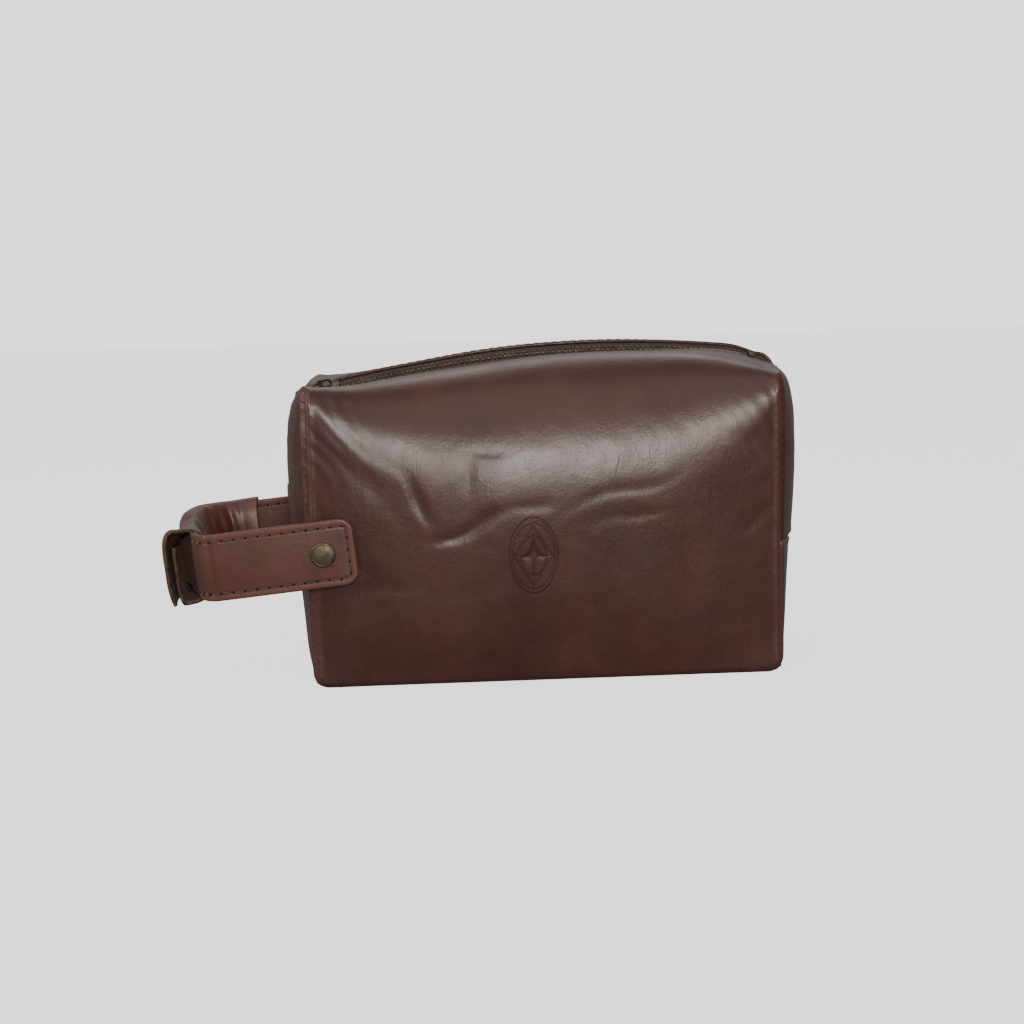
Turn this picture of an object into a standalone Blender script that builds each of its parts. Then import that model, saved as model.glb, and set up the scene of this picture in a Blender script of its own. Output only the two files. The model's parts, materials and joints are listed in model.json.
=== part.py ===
"""A zipped leather shaving kit bag with a snap-on side handle.

Frame: +X runs along the bag away from its handle, the front face looks along -Y, and +Z is up.
The origin is the middle of the base, on the surface that the bag stands on. Sizes are in millimetres
here and become metres in mm().
"""

import math

import bmesh
import bpy
from mathutils import Matrix, Vector

# Driving dimensions
HALF_LENGTH = 114.0  # middle of the bag to the seams at its four corners
HALF_DEPTH = 54.0  # front and back faces
FACE_CROWN = 4.0  # how far the faces swell in their middle
FLAT_FROM = 86.0  # the faces are flat from here to the corner seams
END_CROWN = 15.5  # how far the ends swell past the corner seams
END_SEAM_Z = 66.0  # the seam across each end
FOLD_RADIUS = 20.0  # where a face turns into the top
FOLD_CORNER_Z = {-1: 141.0, 1: 143.0}  # tops of the folds at the corners, front and back
FOLD_RISE = 9.0  # how much higher the folds are in their middle
BASE_RADIUS = 11.0  # where a face turns into the base
LEATHER = 1.6
LINING = 0.8
GAP = 0.3  # between pieces that touch

ZIP_APEX_X, ZIP_APEX_Z = 35.0, 157.3
ZIP_RADIUS = 600.0  # the closed zip is an arc of this radius
ZIP_TILT = math.radians(19.5)  # the zip leans towards the front
ZIP_OPENING = 8.0  # half the gap between the two leather edges
LIP_LIFT = 2.65  # leather edges above the zip's middle plane
FLAP_HALF = 32.0  # middle of the zip to the fold where a top flap hinges
TOP_HALF = FLAP_HALF - 0.6  # the top panels stop short of the folds
FLAP_LEFT, FLAP_RIGHT = -98.0, 88.0
FLAP_END_GAP = 1.5
TAPE_EDGE = 15.0
TAPE = 0.6
TAPE_DEPTH = 2.5  # under the leather's outer surface
TAPE_REACH = 71.0  # down each end
TEETH_LEFT, TEETH_RIGHT = -100.5, 106.0
TOOTH_PITCH = 2.75
TOOTH_THICK = 2.4
TOOTH_REACH = 1.2
CORD_INNER, CORD_OUTER = 1.6, 3.0

SLIDER_X = -105.0
SLIDER_LENGTH, SLIDER_FRONT, SLIDER_BACK = 11.0, 8.8, 7.4
SLIDER_PLATE = 1.1
SLIDER_INSIDE = 1.6  # half the height of the channel for the teeth
BAIL_HEIGHT = 4.4
BAIL_X = -3.2
PULL_LENGTH, PULL_WIDTH, PULL_THICK = 20.0, 7.0, 1.3
PULL_AXIS_UP = 4.85  # above the zip's middle plane
PULL_DIP = math.radians(9.0)  # rests against the slider's nose, pointing down over the end

HANDLE_X, HANDLE_Z = -107.0, 67.0  # the line that the snap and the rivet share
HANDLE_DROOP = math.radians(-5.5)
STRAP_WIDTH = 32.0
STRAP_LAYER = 1.5
STRAP_TIP = 15.5  # past the snap
STRAP_HINGE = -46.0  # where the front strap bends, from the snap's line
BEND_RADIUS = 26.0
BEND_START = -50.0
SLEEVE_REAR = 9.0  # how far the grip runs on past the rear bend
SLEEVE_HALF_HEIGHT, SLEEVE_HALF_THICK = 20.5, 7.5
SNAP_RADIUS = 6.0
FRONT_STRAP_OFF = 3.0  # the snap holds the front strap this far off the face
REAR_STRAP_OFF = 0.4

COLOURS = {
    "leather": ((0.105, 0.042, 0.034, 1.0), 0.34, 0.0),
    "strap_leather": ((0.15, 0.062, 0.048, 1.0), 0.4, 0.0),
    "lining_cloth": ((0.16, 0.13, 0.10, 1.0), 0.9, 0.0),
    "zip_tape": ((0.075, 0.043, 0.034, 1.0), 0.85, 0.0),
    "antique_brass": ((0.27, 0.23, 0.17, 1.0), 0.38, 1.0),
}


def mm(*values):
    """Millimetres to metres, as a Vector when there are three."""
    metres = [value / 1000.0 for value in values]
    return Vector(metres) if len(metres) == 3 else metres[0]


# ---------------------------------------------------------------- scene helpers


def clear_scene():
    for obj in list(bpy.data.objects):
        bpy.data.objects.remove(obj, do_unlink=True)


def collection(name):
    made = bpy.data.collections.new(name)
    bpy.context.scene.collection.children.link(made)
    return made


def material(name):
    made = bpy.data.materials.get(name)
    if made is None:
        colour, roughness, metallic = COLOURS[name]
        made = bpy.data.materials.new(name)
        made.use_nodes = True
        shader = made.node_tree.nodes["Principled BSDF"]
        shader.inputs["Base Color"].default_value = colour
        shader.inputs["Roughness"].default_value = roughness
        shader.inputs["Metallic"].default_value = metallic
        made.diffuse_color = colour
    return made


def add_object(name, mesh, slot, parent=None):
    obj = bpy.data.objects.new(name, mesh)
    mesh.materials.append(material(slot))
    BAG.objects.link(obj)
    obj.parent = parent
    mesh.shade_smooth()
    mesh.set_sharp_from_angle(angle=math.radians(35))
    return obj


def add_cutter(name, mesh, parent=None):
    obj = bpy.data.objects.new(name, mesh)
    CUTTERS.objects.link(obj)
    obj.parent = parent
    obj.hide_render = True
    obj.display_type = "WIRE"
    return obj


def boolean(obj, other, operation="DIFFERENCE"):
    modifier = obj.modifiers.new(other.name, "BOOLEAN")
    modifier.operation = operation
    modifier.object = other


def finish_mesh(bm, name):
    mesh = bpy.data.meshes.new(name)
    bm.to_mesh(mesh)
    bm.free()
    return mesh


# ---------------------------------------------------------------- shape helpers


def sheet(name, across, along, place, thickness, slot, inside, parent=None, wrap=False):
    """A grid laid on place(u, v), given thickness towards the point inside. wrap joins v = 0 and v = 1."""
    bm = bmesh.new()
    bmesh.ops.create_grid(bm, x_segments=across, y_segments=along, size=0.5)
    for vert in bm.verts:
        vert.co = place(vert.co.x + 0.5, vert.co.y + 0.5) / 1000.0
    if wrap:
        bmesh.ops.remove_doubles(bm, verts=bm.verts, dist=1e-6)
    bm.normal_update()
    facing = 0.0
    for face in bm.faces:
        away = face.calc_center_median() - inside(face.calc_center_median())
        facing += face.normal.dot(away) * face.calc_area()
    if facing < 0:
        bmesh.ops.reverse_faces(bm, faces=bm.faces)
    obj = add_object(name, finish_mesh(bm, name), slot, parent)
    solidify = obj.modifiers.new("thickness", "SOLIDIFY")
    solidify.thickness = mm(thickness)
    solidify.offset = -1.0
    solidify.use_even_offset = True
    return obj


def towards(x, y, z):
    """An inside() that is one point."""
    point = mm(x, y, z)
    return lambda _: point


def along_x(y, z):
    """An inside() that is a line along X."""
    return lambda centre: Vector((centre.x, mm(y), mm(z)))


def cylinder_mesh(name, radius, low, high, segments=24):
    """A cylinder about Z from low to high."""
    bm = bmesh.new()
    bmesh.ops.create_cone(
        bm,
        cap_ends=True,
        segments=segments,
        radius1=mm(radius),
        radius2=mm(radius),
        depth=mm(high - low),
        matrix=Matrix.Translation(mm(0, 0, (low + high) / 2)),
    )
    return finish_mesh(bm, name)


def box_mesh(name, low, high):
    bm = bmesh.new()
    bmesh.ops.create_cube(bm, size=1.0)
    low, high = mm(*low), mm(*high)
    for vert in bm.verts:
        for axis in range(3):
            middle = (low[axis] + high[axis]) / 2
            vert.co[axis] = middle + vert.co[axis] * (high[axis] - low[axis])
    return finish_mesh(bm, name)


def outline_mesh(name, points, thickness):
    """A flat outline in XY, thickened to both sides of it, with its caps welded on."""
    curve = bpy.data.curves.new(name, "CURVE")
    curve.dimensions = "2D"
    curve.fill_mode = "BOTH"
    curve.extrude = mm(thickness / 2)
    spline = curve.splines.new("POLY")
    spline.points.add(len(points) - 1)
    spline.use_cyclic_u = True
    for point, (x, y) in zip(spline.points, points):
        point.co = (mm(x), mm(y), 0, 1)
    helper = bpy.data.objects.new(name + "_outline", curve)
    BAG.objects.link(helper)
    graph = bpy.context.evaluated_depsgraph_get()
    mesh = bpy.data.meshes.new_from_object(helper.evaluated_get(graph))
    bpy.data.objects.remove(helper)
    bm = bmesh.new()
    bm.from_mesh(mesh)
    bmesh.ops.remove_doubles(bm, verts=bm.verts, dist=1e-6)
    bmesh.ops.recalc_face_normals(bm, faces=bm.faces)
    return finish_mesh(bm, name)


def turned(name, profile, slot, parent=None, segments=24):
    """A profile of (radius, height) points, from the top centre to the bottom centre, turned about Z."""
    bm = bmesh.new()
    verts = [bm.verts.new(mm(radius, 0, height)) for radius, height in profile]
    for first, second in zip(verts, verts[1:]):
        bm.edges.new((first, second))
    obj = add_object(name, finish_mesh(bm, name), slot, parent)
    screw = obj.modifiers.new("turn", "SCREW")
    screw.steps = screw.render_steps = segments
    screw.use_merge_vertices = True
    screw.merge_threshold = 0.00002
    return obj


def rounded_rectangle(x_low, x_high, y_low, y_high, radii, steps=4):
    """Outline points; radii are for the corners (low, low), (high, low), (high, high), (low, high)."""
    corners = [
        (x_low, y_low, 1, 1, 180),
        (x_high, y_low, -1, 1, 270),
        (x_high, y_high, -1, -1, 0),
        (x_low, y_high, 1, -1, 90),
    ]
    points = []
    for (x, y, side_x, side_y, start), radius in zip(corners, radii):
        count = steps if radius > 0 else 0
        for i in range(count + 1):
            angle = math.radians(start + 90 * i / max(count, 1))
            centre_x, centre_y = x + side_x * radius, y + side_y * radius
            points.append((centre_x + radius * math.cos(angle), centre_y + radius * math.sin(angle)))
    return points


# ---------------------------------------------------------------- form of the bag


def zip_z(x):
    """Height of the zip's middle plane along its centre line."""
    return ZIP_APEX_Z - ZIP_RADIUS + math.sqrt(ZIP_RADIUS**2 - (x - ZIP_APEX_X) ** 2)


def zip_frame(x):
    """Placement on the closed zip at x: local X runs along the zip, and local Z leans to the front."""
    slope = math.asin((x - ZIP_APEX_X) / ZIP_RADIUS)
    turn = Matrix.Rotation(slope, 4, "Y") @ Matrix.Rotation(ZIP_TILT, 4, "X")
    return Matrix.Translation(mm(x, 0, zip_z(x))) @ turn


def fold_top(x, side):
    """Top of the front (-1) or back (+1) fold, where a flap hinges."""
    return FOLD_CORNER_Z[side] + FOLD_RISE * (1 - (x / HALF_LENGTH) ** 2)


def top_z(x, y):
    """Outer surface of the top: level with the lips between them, then falling to a fold."""
    side = 1 if y > 0 else -1
    across = min(abs(y), ZIP_OPENING) * side
    lip = zip_z(x) + math.tan(ZIP_TILT) * across + LIP_LIFT
    reach = max(abs(y) - ZIP_OPENING, 0) / (FLAP_HALF - ZIP_OPENING)
    return lip + (fold_top(x, side) - lip) * reach


def face_crown(x, z):
    rise = (z - BASE_RADIUS) / (FOLD_CORNER_Z[-1] - FOLD_RADIUS - BASE_RADIUS)
    along = max(1 - (x / FLAT_FROM) ** 2, 0)
    return FACE_CROWN * math.sin(math.pi * min(max(rise, 0), 1)) * along


def face_point(x, v, side):
    """(depth, height) on a face, from its fold at v = 0 down to its edge under the bag at v = 1."""
    fold_z = fold_top(x, side) - FOLD_RADIUS
    if v < 0.375:
        angle = math.radians(90 * v / 0.375)
        swell = face_crown(x, fold_z) * math.sin(angle)
        return (
            FLAP_HALF + (FOLD_RADIUS + 2.0) * math.sin(angle) + swell,
            fold_z + FOLD_RADIUS * math.cos(angle),
        )
    if v < 0.75:
        z = fold_z + (BASE_RADIUS - fold_z) * (v - 0.375) / 0.375
        return HALF_DEPTH + face_crown(x, z), z
    angle = math.radians(90 * (v - 0.75) / 0.25)
    return (
        HALF_DEPTH - BASE_RADIUS + BASE_RADIUS * math.cos(angle),
        BASE_RADIUS - BASE_RADIUS * math.sin(angle),
    )


def end_half_width(z, x, side):
    """Half the width of an end at height z, inside the faces' own leather."""
    inset = LEATHER + 0.4
    fold_z = fold_top(x, side) - FOLD_RADIUS
    radius = FOLD_RADIUS - inset - 1.0
    wide = HALF_DEPTH - inset
    if z > fold_z + radius:
        return TOP_HALF
    if z > fold_z:
        round_in = math.sqrt(1 - ((z - fold_z) / radius) ** 2)
        return TOP_HALF + (wide - TOP_HALF) * round_in
    low = BASE_RADIUS - inset
    if z < BASE_RADIUS:
        return HALF_DEPTH - BASE_RADIUS + math.sqrt(max(low**2 - (BASE_RADIUS - z) ** 2, 0))
    return wide


def upper_bulge(t):
    """Share of END_CROWN from the end's seam, t = 0, to the shoulder, t = 1."""
    return math.sqrt(max(1 - t**6, 0)) * (0.78 + 0.22 * math.sin(math.pi * min(t / 0.9, 1)))


def lower_bulge(t):
    """Share of END_CROWN from the end's seam, t = 0, to the base, t = 1."""
    return math.sqrt(max(1 - t**8, 0)) * (0.68 - 0.3 * t)


def end_upper_point(side, s, t, lift=0.0):
    """A point on the upper half of an end: s from -1 to 1 across, t from the seam to the shoulder."""
    rim_x = side * (HALF_LENGTH - 1)
    seam = END_SEAM_Z + GAP / 2
    z = seam + (top_z(rim_x, TOP_HALF * s) - seam) * t
    width = end_half_width(z, rim_x, 1 if s > 0 else -1)
    outward = END_CROWN * (1 - s**4) * upper_bulge(t)
    return Vector((rim_x + side * (outward + lift), width * s, z))


def skin(run, y):
    """The bag's outer surface near the zip: run is x on the top, and goes on down each end."""
    shoulder = HALF_LENGTH - 1
    if abs(run) <= shoulder:
        return Vector((run, y, top_z(run, y)))
    side = 1 if run > 0 else -1
    t = max(1 - ((abs(run) - shoulder) / 90.0) ** 2, 0)
    low, high = -1.0, 1.0
    for _ in range(24):
        s = (low + high) / 2
        if end_upper_point(side, s, t).y < y:
            low = s
        else:
            high = s
    return end_upper_point(side, s, t)


def under_skin(run, y, depth):
    step = 0.8
    along = skin(run + step, y) - skin(run - step, y)
    across = skin(run, y + step) - skin(run, y - step)
    return skin(run, y) - along.cross(across).normalized() * depth


# ---------------------------------------------------------------- leather of the bag


def make_face(name, side):
    """A front (-1) or back (+1) face, from the fold at the top to the edge of the base."""

    def place(u, v):
        x = HALF_LENGTH * (2 * u - 1)
        depth, z = face_point(x, v, side)
        return Vector((x, side * depth, z))

    return sheet(name, 20, 16, place, LEATHER, "leather", along_x(0, 75))


def make_base():
    half = HALF_DEPTH - BASE_RADIUS - 2 * GAP
    mesh = outline_mesh(
        "base_panel",
        rounded_rectangle(-HALF_LENGTH, HALF_LENGTH, -half, half, [0, 0, 0, 0]),
        LEATHER,
    )
    base = add_object("base_panel", mesh, "leather")
    base.location.z = mm(LEATHER / 2)
    return base


def make_flap(name, side):
    """A moving top flap, between the fold and the zip."""

    def place(u, v):
        x = FLAP_LEFT + (FLAP_RIGHT - FLAP_LEFT) * u
        y = side * (ZIP_OPENING + (TOP_HALF - ZIP_OPENING) * v)
        return Vector((x, y, top_z(x, y)))

    return sheet(name, 24, 2, place, LEATHER, "leather", along_x(side * 20, 0))


def make_end_upper(name, side):
    """The upper half of an end with its shoulder and the fixed end of the top, slotted for the zip."""
    inner = FLAP_RIGHT if side > 0 else -FLAP_LEFT
    flat_share = 0.25

    def place(u, v):
        s = 2 * u - 1
        if v > 1 - flat_share:
            reach = (v - 1 + flat_share) / flat_share
            x = side * (HALF_LENGTH - 1 + (inner + FLAP_END_GAP - HALF_LENGTH + 1) * reach)
            y = TOP_HALF * s
            return Vector((x, y, top_z(x, y)))
        return end_upper_point(side, s, math.sin(math.pi / 2 * v / (1 - flat_share)))

    end = sheet(name, 16, 24, place, LEATHER, "leather", towards(side * 70, 0, 70))
    corners = sorted([side * (inner - 5), side * (HALF_LENGTH + 20)])
    slot = box_mesh(
        name + "_slot",
        (corners[0], -ZIP_OPENING, 96),
        (corners[1], ZIP_OPENING, 175),
    )
    boolean(end, add_cutter(name + "_slot", slot))
    return end


def make_end_lower(name, side):
    def place(u, v):
        s = 2 * u - 1
        rim_x = side * (HALF_LENGTH - 1)
        bottom = LEATHER + 0.4
        t = math.sin(math.pi / 2 * v)
        z = END_SEAM_Z - GAP / 2 + (bottom - END_SEAM_Z + GAP / 2) * t
        outward = END_CROWN * (1 - s**4) * lower_bulge(t)
        width = end_half_width(z, rim_x, -1)
        return Vector((rim_x + side * outward, width * s, z))

    return sheet(name, 10, 10, place, LEATHER, "leather", towards(side * 70, 0, 70))


def make_zip_tab(name, side):
    """The leather tab that covers the end of the zip, with its lower edge in the end's seam."""

    def place(u, v):
        s = (2 * u - 1) * 14.0 / (HALF_DEPTH - LEATHER)
        return end_upper_point(side, s, 0.02 + 0.38 * v, lift=2.0)

    return sheet(name, 4, 6, place, LEATHER, "strap_leather", towards(side * 70, 0, 70))


def make_lining():
    """An open-topped cloth tub."""
    half = HALF_LENGTH - 4, HALF_DEPTH - LEATHER - 1.9
    bm = bmesh.new()
    bmesh.ops.create_cube(bm, size=1.0)
    for vert in bm.verts:
        vert.co = mm(
            2 * half[0] * vert.co.x,
            2 * half[1] * vert.co.y,
            (LEATHER + GAP) if vert.co.z < 0 else 110.0,
        )
    upright = [
        e for e in bm.edges if abs(e.verts[0].co.z - e.verts[1].co.z) > mm(50)
    ]
    bottom = [e for e in bm.edges if all(v.co.z < mm(20) for v in e.verts)]
    bmesh.ops.bevel(
        bm,
        geom=upright + bottom,
        offset=mm(10),
        segments=3,
        affect="EDGES",
        profile=0.5,
    )
    lid = [f for f in bm.faces if f.normal.z > 0.9 and f.calc_center_median().z > mm(100)]
    bmesh.ops.delete(bm, geom=lid, context="FACES")
    tub = add_object("lining", finish_mesh(bm, "lining"), "lining_cloth")
    solidify = tub.modifiers.new("thickness", "SOLIDIFY")
    solidify.thickness = mm(LINING)
    solidify.offset = -1.0
    return tub


def make_pocket():
    """The slip pocket on the back of the lining."""
    outline = rounded_rectangle(-70, 70, -38, 38, [8, 8, 0, 0])
    pocket = add_object("slip_pocket", outline_mesh("slip_pocket", outline, LINING), "lining_cloth")
    pocket.rotation_euler = (math.radians(90), 0, 0)
    inner = HALF_DEPTH - LEATHER - 1.9 - LINING
    pocket.location = mm(0, inner - GAP - LINING / 2, 60)
    return pocket


# ---------------------------------------------------------------- zip


def make_tape(name, side):
    reach = HALF_LENGTH - 1 + TAPE_REACH

    def place(u, v):
        run = reach * (2 * u - 1)
        inner = side * (CORD_OUTER + GAP) - TAPE_DEPTH * math.sin(ZIP_TILT)
        lip = side * ZIP_OPENING
        y = inner + (lip - inner) * 2 * v
        if v > 0.5:
            y = side * (ZIP_OPENING + (TAPE_EDGE - ZIP_OPENING) * (2 * v - 1))
        return under_skin(run, y, TAPE_DEPTH - TAPE / 2)

    return sheet(name, 76, 2, place, TAPE, "zip_tape", towards(0, 0, 0))


def make_teeth(name, side):
    """One row of teeth on its cord; the other side's teeth stand in the gaps between these."""
    count = int((TEETH_RIGHT - TEETH_LEFT) / TOOTH_PITCH)
    first = TEETH_LEFT + (0.3 if side < 0 else 0.8) * TOOTH_PITCH
    half = TOOTH_PITCH / 4 - 0.1
    rows = (-TOOTH_REACH, CORD_INNER, CORD_OUTER)
    bm = bmesh.new()
    bmesh.ops.create_grid(bm, x_segments=2 * count + 1, y_segments=2, size=0.5)
    stations = {}
    for vert in bm.verts:
        column = round((vert.co.x + 0.5) * (2 * count + 1))
        row = round((vert.co.y + 0.5) * 2)
        tooth, edge = divmod(column - 1, 2)
        x = first + TOOTH_PITCH * tooth + (half if edge else -half)
        stations[vert] = (column, row)
        vert.co = zip_frame(x) @ mm(0, side * rows[row], 0)
    spare = []
    for face in bm.faces:
        column = min(stations[vert][0] for vert in face.verts)
        row = min(stations[vert][1] for vert in face.verts)
        if row == 0 and column % 2 == 0:
            spare.append(face)
    bmesh.ops.delete(bm, geom=spare, context="FACES")
    bmesh.ops.recalc_face_normals(bm, faces=bm.faces)
    teeth = add_object(name, finish_mesh(bm, name), "antique_brass")
    solidify = teeth.modifiers.new("thickness", "SOLIDIFY")
    solidify.thickness = mm(TOOTH_THICK)
    solidify.offset = 0.0
    return teeth


def on_zip(name, x):
    """An empty on the zip at x, turned to lie along it."""
    empty = bpy.data.objects.new(name, None)
    BAG.objects.link(empty)
    empty.matrix_world = zip_frame(x)
    return empty


def make_stop(name, x, y_low, y_high):
    """A metal stop crimped round the tape's edge, or across both edges."""
    mesh = box_mesh(name, (-1.3, y_low, -1.5), (1.3, y_high, 1.5))
    stop = add_object(name, mesh, "antique_brass", on_zip(name + "_place", x))
    bevel = stop.modifiers.new("edges", "BEVEL")
    bevel.width = mm(0.35)
    bevel.segments = 2
    return stop


def make_slider():
    """Two plates joined by a wedge, with a bail on top for the pull."""
    place = on_zip("slider_place", SLIDER_X)
    half = SLIDER_LENGTH / 2
    front, back = SLIDER_FRONT / 2, SLIDER_BACK / 2
    outline = [(half, -back), (half, back), (-half + 2, front), (-half, front - 1.6)]
    outline += [(-half, -front + 1.6), (-half + 2, -front)]
    plate = outline_mesh("slider_body", outline, SLIDER_PLATE)
    plate.transform(Matrix.Translation(mm(0, 0, SLIDER_INSIDE + SLIDER_PLATE / 2)))
    body = add_object("slider_body", plate, "antique_brass", place)
    under = plate.copy()
    under.transform(Matrix.Translation(mm(0, 0, -2 * SLIDER_INSIDE - SLIDER_PLATE)))
    boolean(body, add_cutter("slider_under_plate", under, place), "UNION")
    reach = SLIDER_INSIDE + SLIDER_PLATE / 2
    wedge = box_mesh("slider_wedge", (-half + 0.4, -1.1, -reach), (-half + 2.4, 1.1, reach))
    boolean(body, add_cutter("slider_wedge", wedge, place), "UNION")
    base = SLIDER_INSIDE + SLIDER_PLATE / 2
    top = SLIDER_INSIDE + SLIDER_PLATE + BAIL_HEIGHT
    arch = rounded_rectangle(-2.3, 5.3, base, top, [0, 0, 2.4, 2.4])
    sill = base + SLIDER_PLATE / 2 + 1.0
    window = rounded_rectangle(-1.2, 4.2, sill, top - 1.1, [0, 0, 1.1, 1.1])
    upright = Matrix.Translation(mm(BAIL_X, 0, 0)) @ Matrix.Rotation(math.radians(90), 4, "X")
    arch_mesh = outline_mesh("slider_bail", arch, 2.0)
    arch_mesh.transform(upright)
    window_mesh = outline_mesh("slider_bail_window", window, 4.0)
    window_mesh.transform(upright)
    bail = add_cutter("slider_bail", arch_mesh, place)
    boolean(body, bail, "UNION")
    boolean(body, add_cutter("slider_bail_window", window_mesh, place))
    return body


def make_pull():
    """A flat pull whose crossbar turns in the bail; its local X points along it."""
    place = on_zip("pull_place", SLIDER_X)
    width = PULL_WIDTH / 2
    outline = rounded_rectangle(-0.6, PULL_LENGTH, -width, width, [0.5, 3, 3, 0.5])
    pull = add_object("zip_pull", outline_mesh("zip_pull", outline, PULL_THICK), "antique_brass", place)
    pull.location = mm(BAIL_X, 0, PULL_AXIS_UP)
    pull.rotation_euler = (0, math.pi - PULL_DIP, 0)
    hole = box_mesh("pull_window", (0.75, -1.5, -3), (7.4, 1.5, 3))
    boolean(pull, add_cutter("pull_window", hole, pull))
    eye = cylinder_mesh("pull_eye", 1.7, -3, 3, 16)
    eye.transform(Matrix.Translation(mm(PULL_LENGTH - 4.5, 0, 0)))
    boolean(pull, add_cutter("pull_eye", eye, pull))
    return pull


# ---------------------------------------------------------------- handle


def handle_frame():
    """An empty on the line of the snap and rivet, drooping with the handle. Its -X points along the strap."""
    empty = bpy.data.objects.new("handle_place", None)
    BAG.objects.link(empty)
    empty.location = mm(HANDLE_X, 0, HANDLE_Z)
    empty.rotation_euler = (0, HANDLE_DROOP, 0)
    return empty


def strap_path(front_y, rear_y):
    """Plan of the handle: points (x, y) and outward directions from its front to its rear."""
    path = []
    centre_x = BEND_START
    for i in range(9):
        angle = math.radians(90 * i / 8)
        x = centre_x - BEND_RADIUS * math.sin(angle)
        y = front_y + BEND_RADIUS * (1 - math.cos(angle))
        path.append((Vector((x, y)), Vector((-math.sin(angle), -math.cos(angle)))))
    for i in range(9):
        angle = math.radians(90 * i / 8)
        x = centre_x - BEND_RADIUS * math.cos(angle)
        y = rear_y - BEND_RADIUS * (1 - math.sin(angle))
        path.append((Vector((x, y)), Vector((-math.cos(angle), math.sin(angle)))))
    return path


def at_path(path, share):
    """The path's point and outward direction at a share of its points."""
    step = min(max(share, 0), 1) * (len(path) - 1)
    first = min(int(step), len(path) - 2)
    point = path[first][0].lerp(path[first + 1][0], step - first)
    return point, path[first][1].lerp(path[first + 1][1], step - first).normalized()


def make_straps(frame, front_y, rear_y):
    """Two layers of strap: a front part that the snap frees, and a rear part that runs through the grip."""
    half = STRAP_WIDTH / 2
    lengths = {"facing": 1, "backing": -1}
    path = strap_path(front_y, rear_y)
    hole = cylinder_mesh("strap_hole", 1.9, -90, 90, 16)
    hole.transform(Matrix.Rotation(math.radians(90), 4, "X"))
    hole_cutter = add_cutter("strap_hole", hole, frame)
    for layer, sign in lengths.items():
        middle = sign * (STRAP_LAYER + GAP) / 2
        outline = rounded_rectangle(STRAP_HINGE, STRAP_TIP, -half, half, [0, 7, 7, 0])
        mesh = outline_mesh("strap_front_" + layer, outline, STRAP_LAYER)
        mesh.transform(Matrix.Rotation(math.radians(90), 4, "X"))
        mesh.transform(Matrix.Translation(mm(0, front_y - middle, 0)))
        front = add_object("strap_front_" + layer, mesh, "strap_leather", frame)
        boolean(front, hole_cutter)

        def place(u, v, middle=middle):
            z = half * (2 * v - 1)
            edge = middle + STRAP_LAYER / 2
            if u < 0.04:
                lead = STRAP_HINGE - GAP - 0.2
                return Vector((lead + (BEND_START - lead) * u / 0.04, front_y - edge, z))
            if u > 0.8:
                reach = (u - 0.8) / 0.2
                return Vector((BEND_START + (STRAP_TIP - BEND_START) * reach, rear_y + edge, z))
            point, outward = at_path(path, (u - 0.04) / 0.76)
            point = point + outward * edge
            return Vector((point.x, point.y, z))

        rear = sheet(
            "strap_rear_" + layer,
            40,
            1,
            place,
            STRAP_LAYER,
            "strap_leather",
            towards(BEND_START + 5, 0, 0),
            frame,
        )
        boolean(rear, hole_cutter)


def make_sleeve(frame, front_y, rear_y):
    """The rolled leather grip round the strap."""
    path = strap_path(front_y, rear_y)

    def place(u, v):
        run_on = 0.12
        point, outward = at_path(path, 0.06 + 0.94 * u / (1 - run_on))
        if u > 1 - run_on:
            point = point + Vector((SLEEVE_REAR * (u - 1 + run_on) / run_on, 0))
        angle = 2 * math.pi * v
        across = math.copysign(abs(math.cos(angle)) ** 0.6, math.cos(angle))
        up = math.copysign(abs(math.sin(angle)) ** 0.6, math.sin(angle))
        spot = point + outward * SLEEVE_HALF_THICK * across
        return Vector((spot.x, spot.y, SLEEVE_HALF_HEIGHT * up))

    def axis(centre):
        spots = [at_path(path, i / 40)[0] for i in range(41)]
        spots += [spots[-1] + Vector((SLEEVE_REAR * i / 4, 0)) for i in range(5)]
        flat = Vector((centre.x, centre.y)) * 1000
        near = min(spots, key=lambda spot: (spot - flat).length)
        return mm(near.x, near.y, 0)

    return sheet(
        "grip_sleeve", 20, 16, place, LEATHER, "strap_leather", axis, frame, wrap=True
    )


def facing_out(obj, y, side, parent=None, x=0.0, z=0.0):
    """Lays a turned piece on its side with its top towards the front (-1) or the back (+1)."""
    obj.rotation_euler = (math.radians(90) if side < 0 else math.radians(-90), 0, 0)
    obj.location = mm(x, y, z)
    obj.parent = parent


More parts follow.
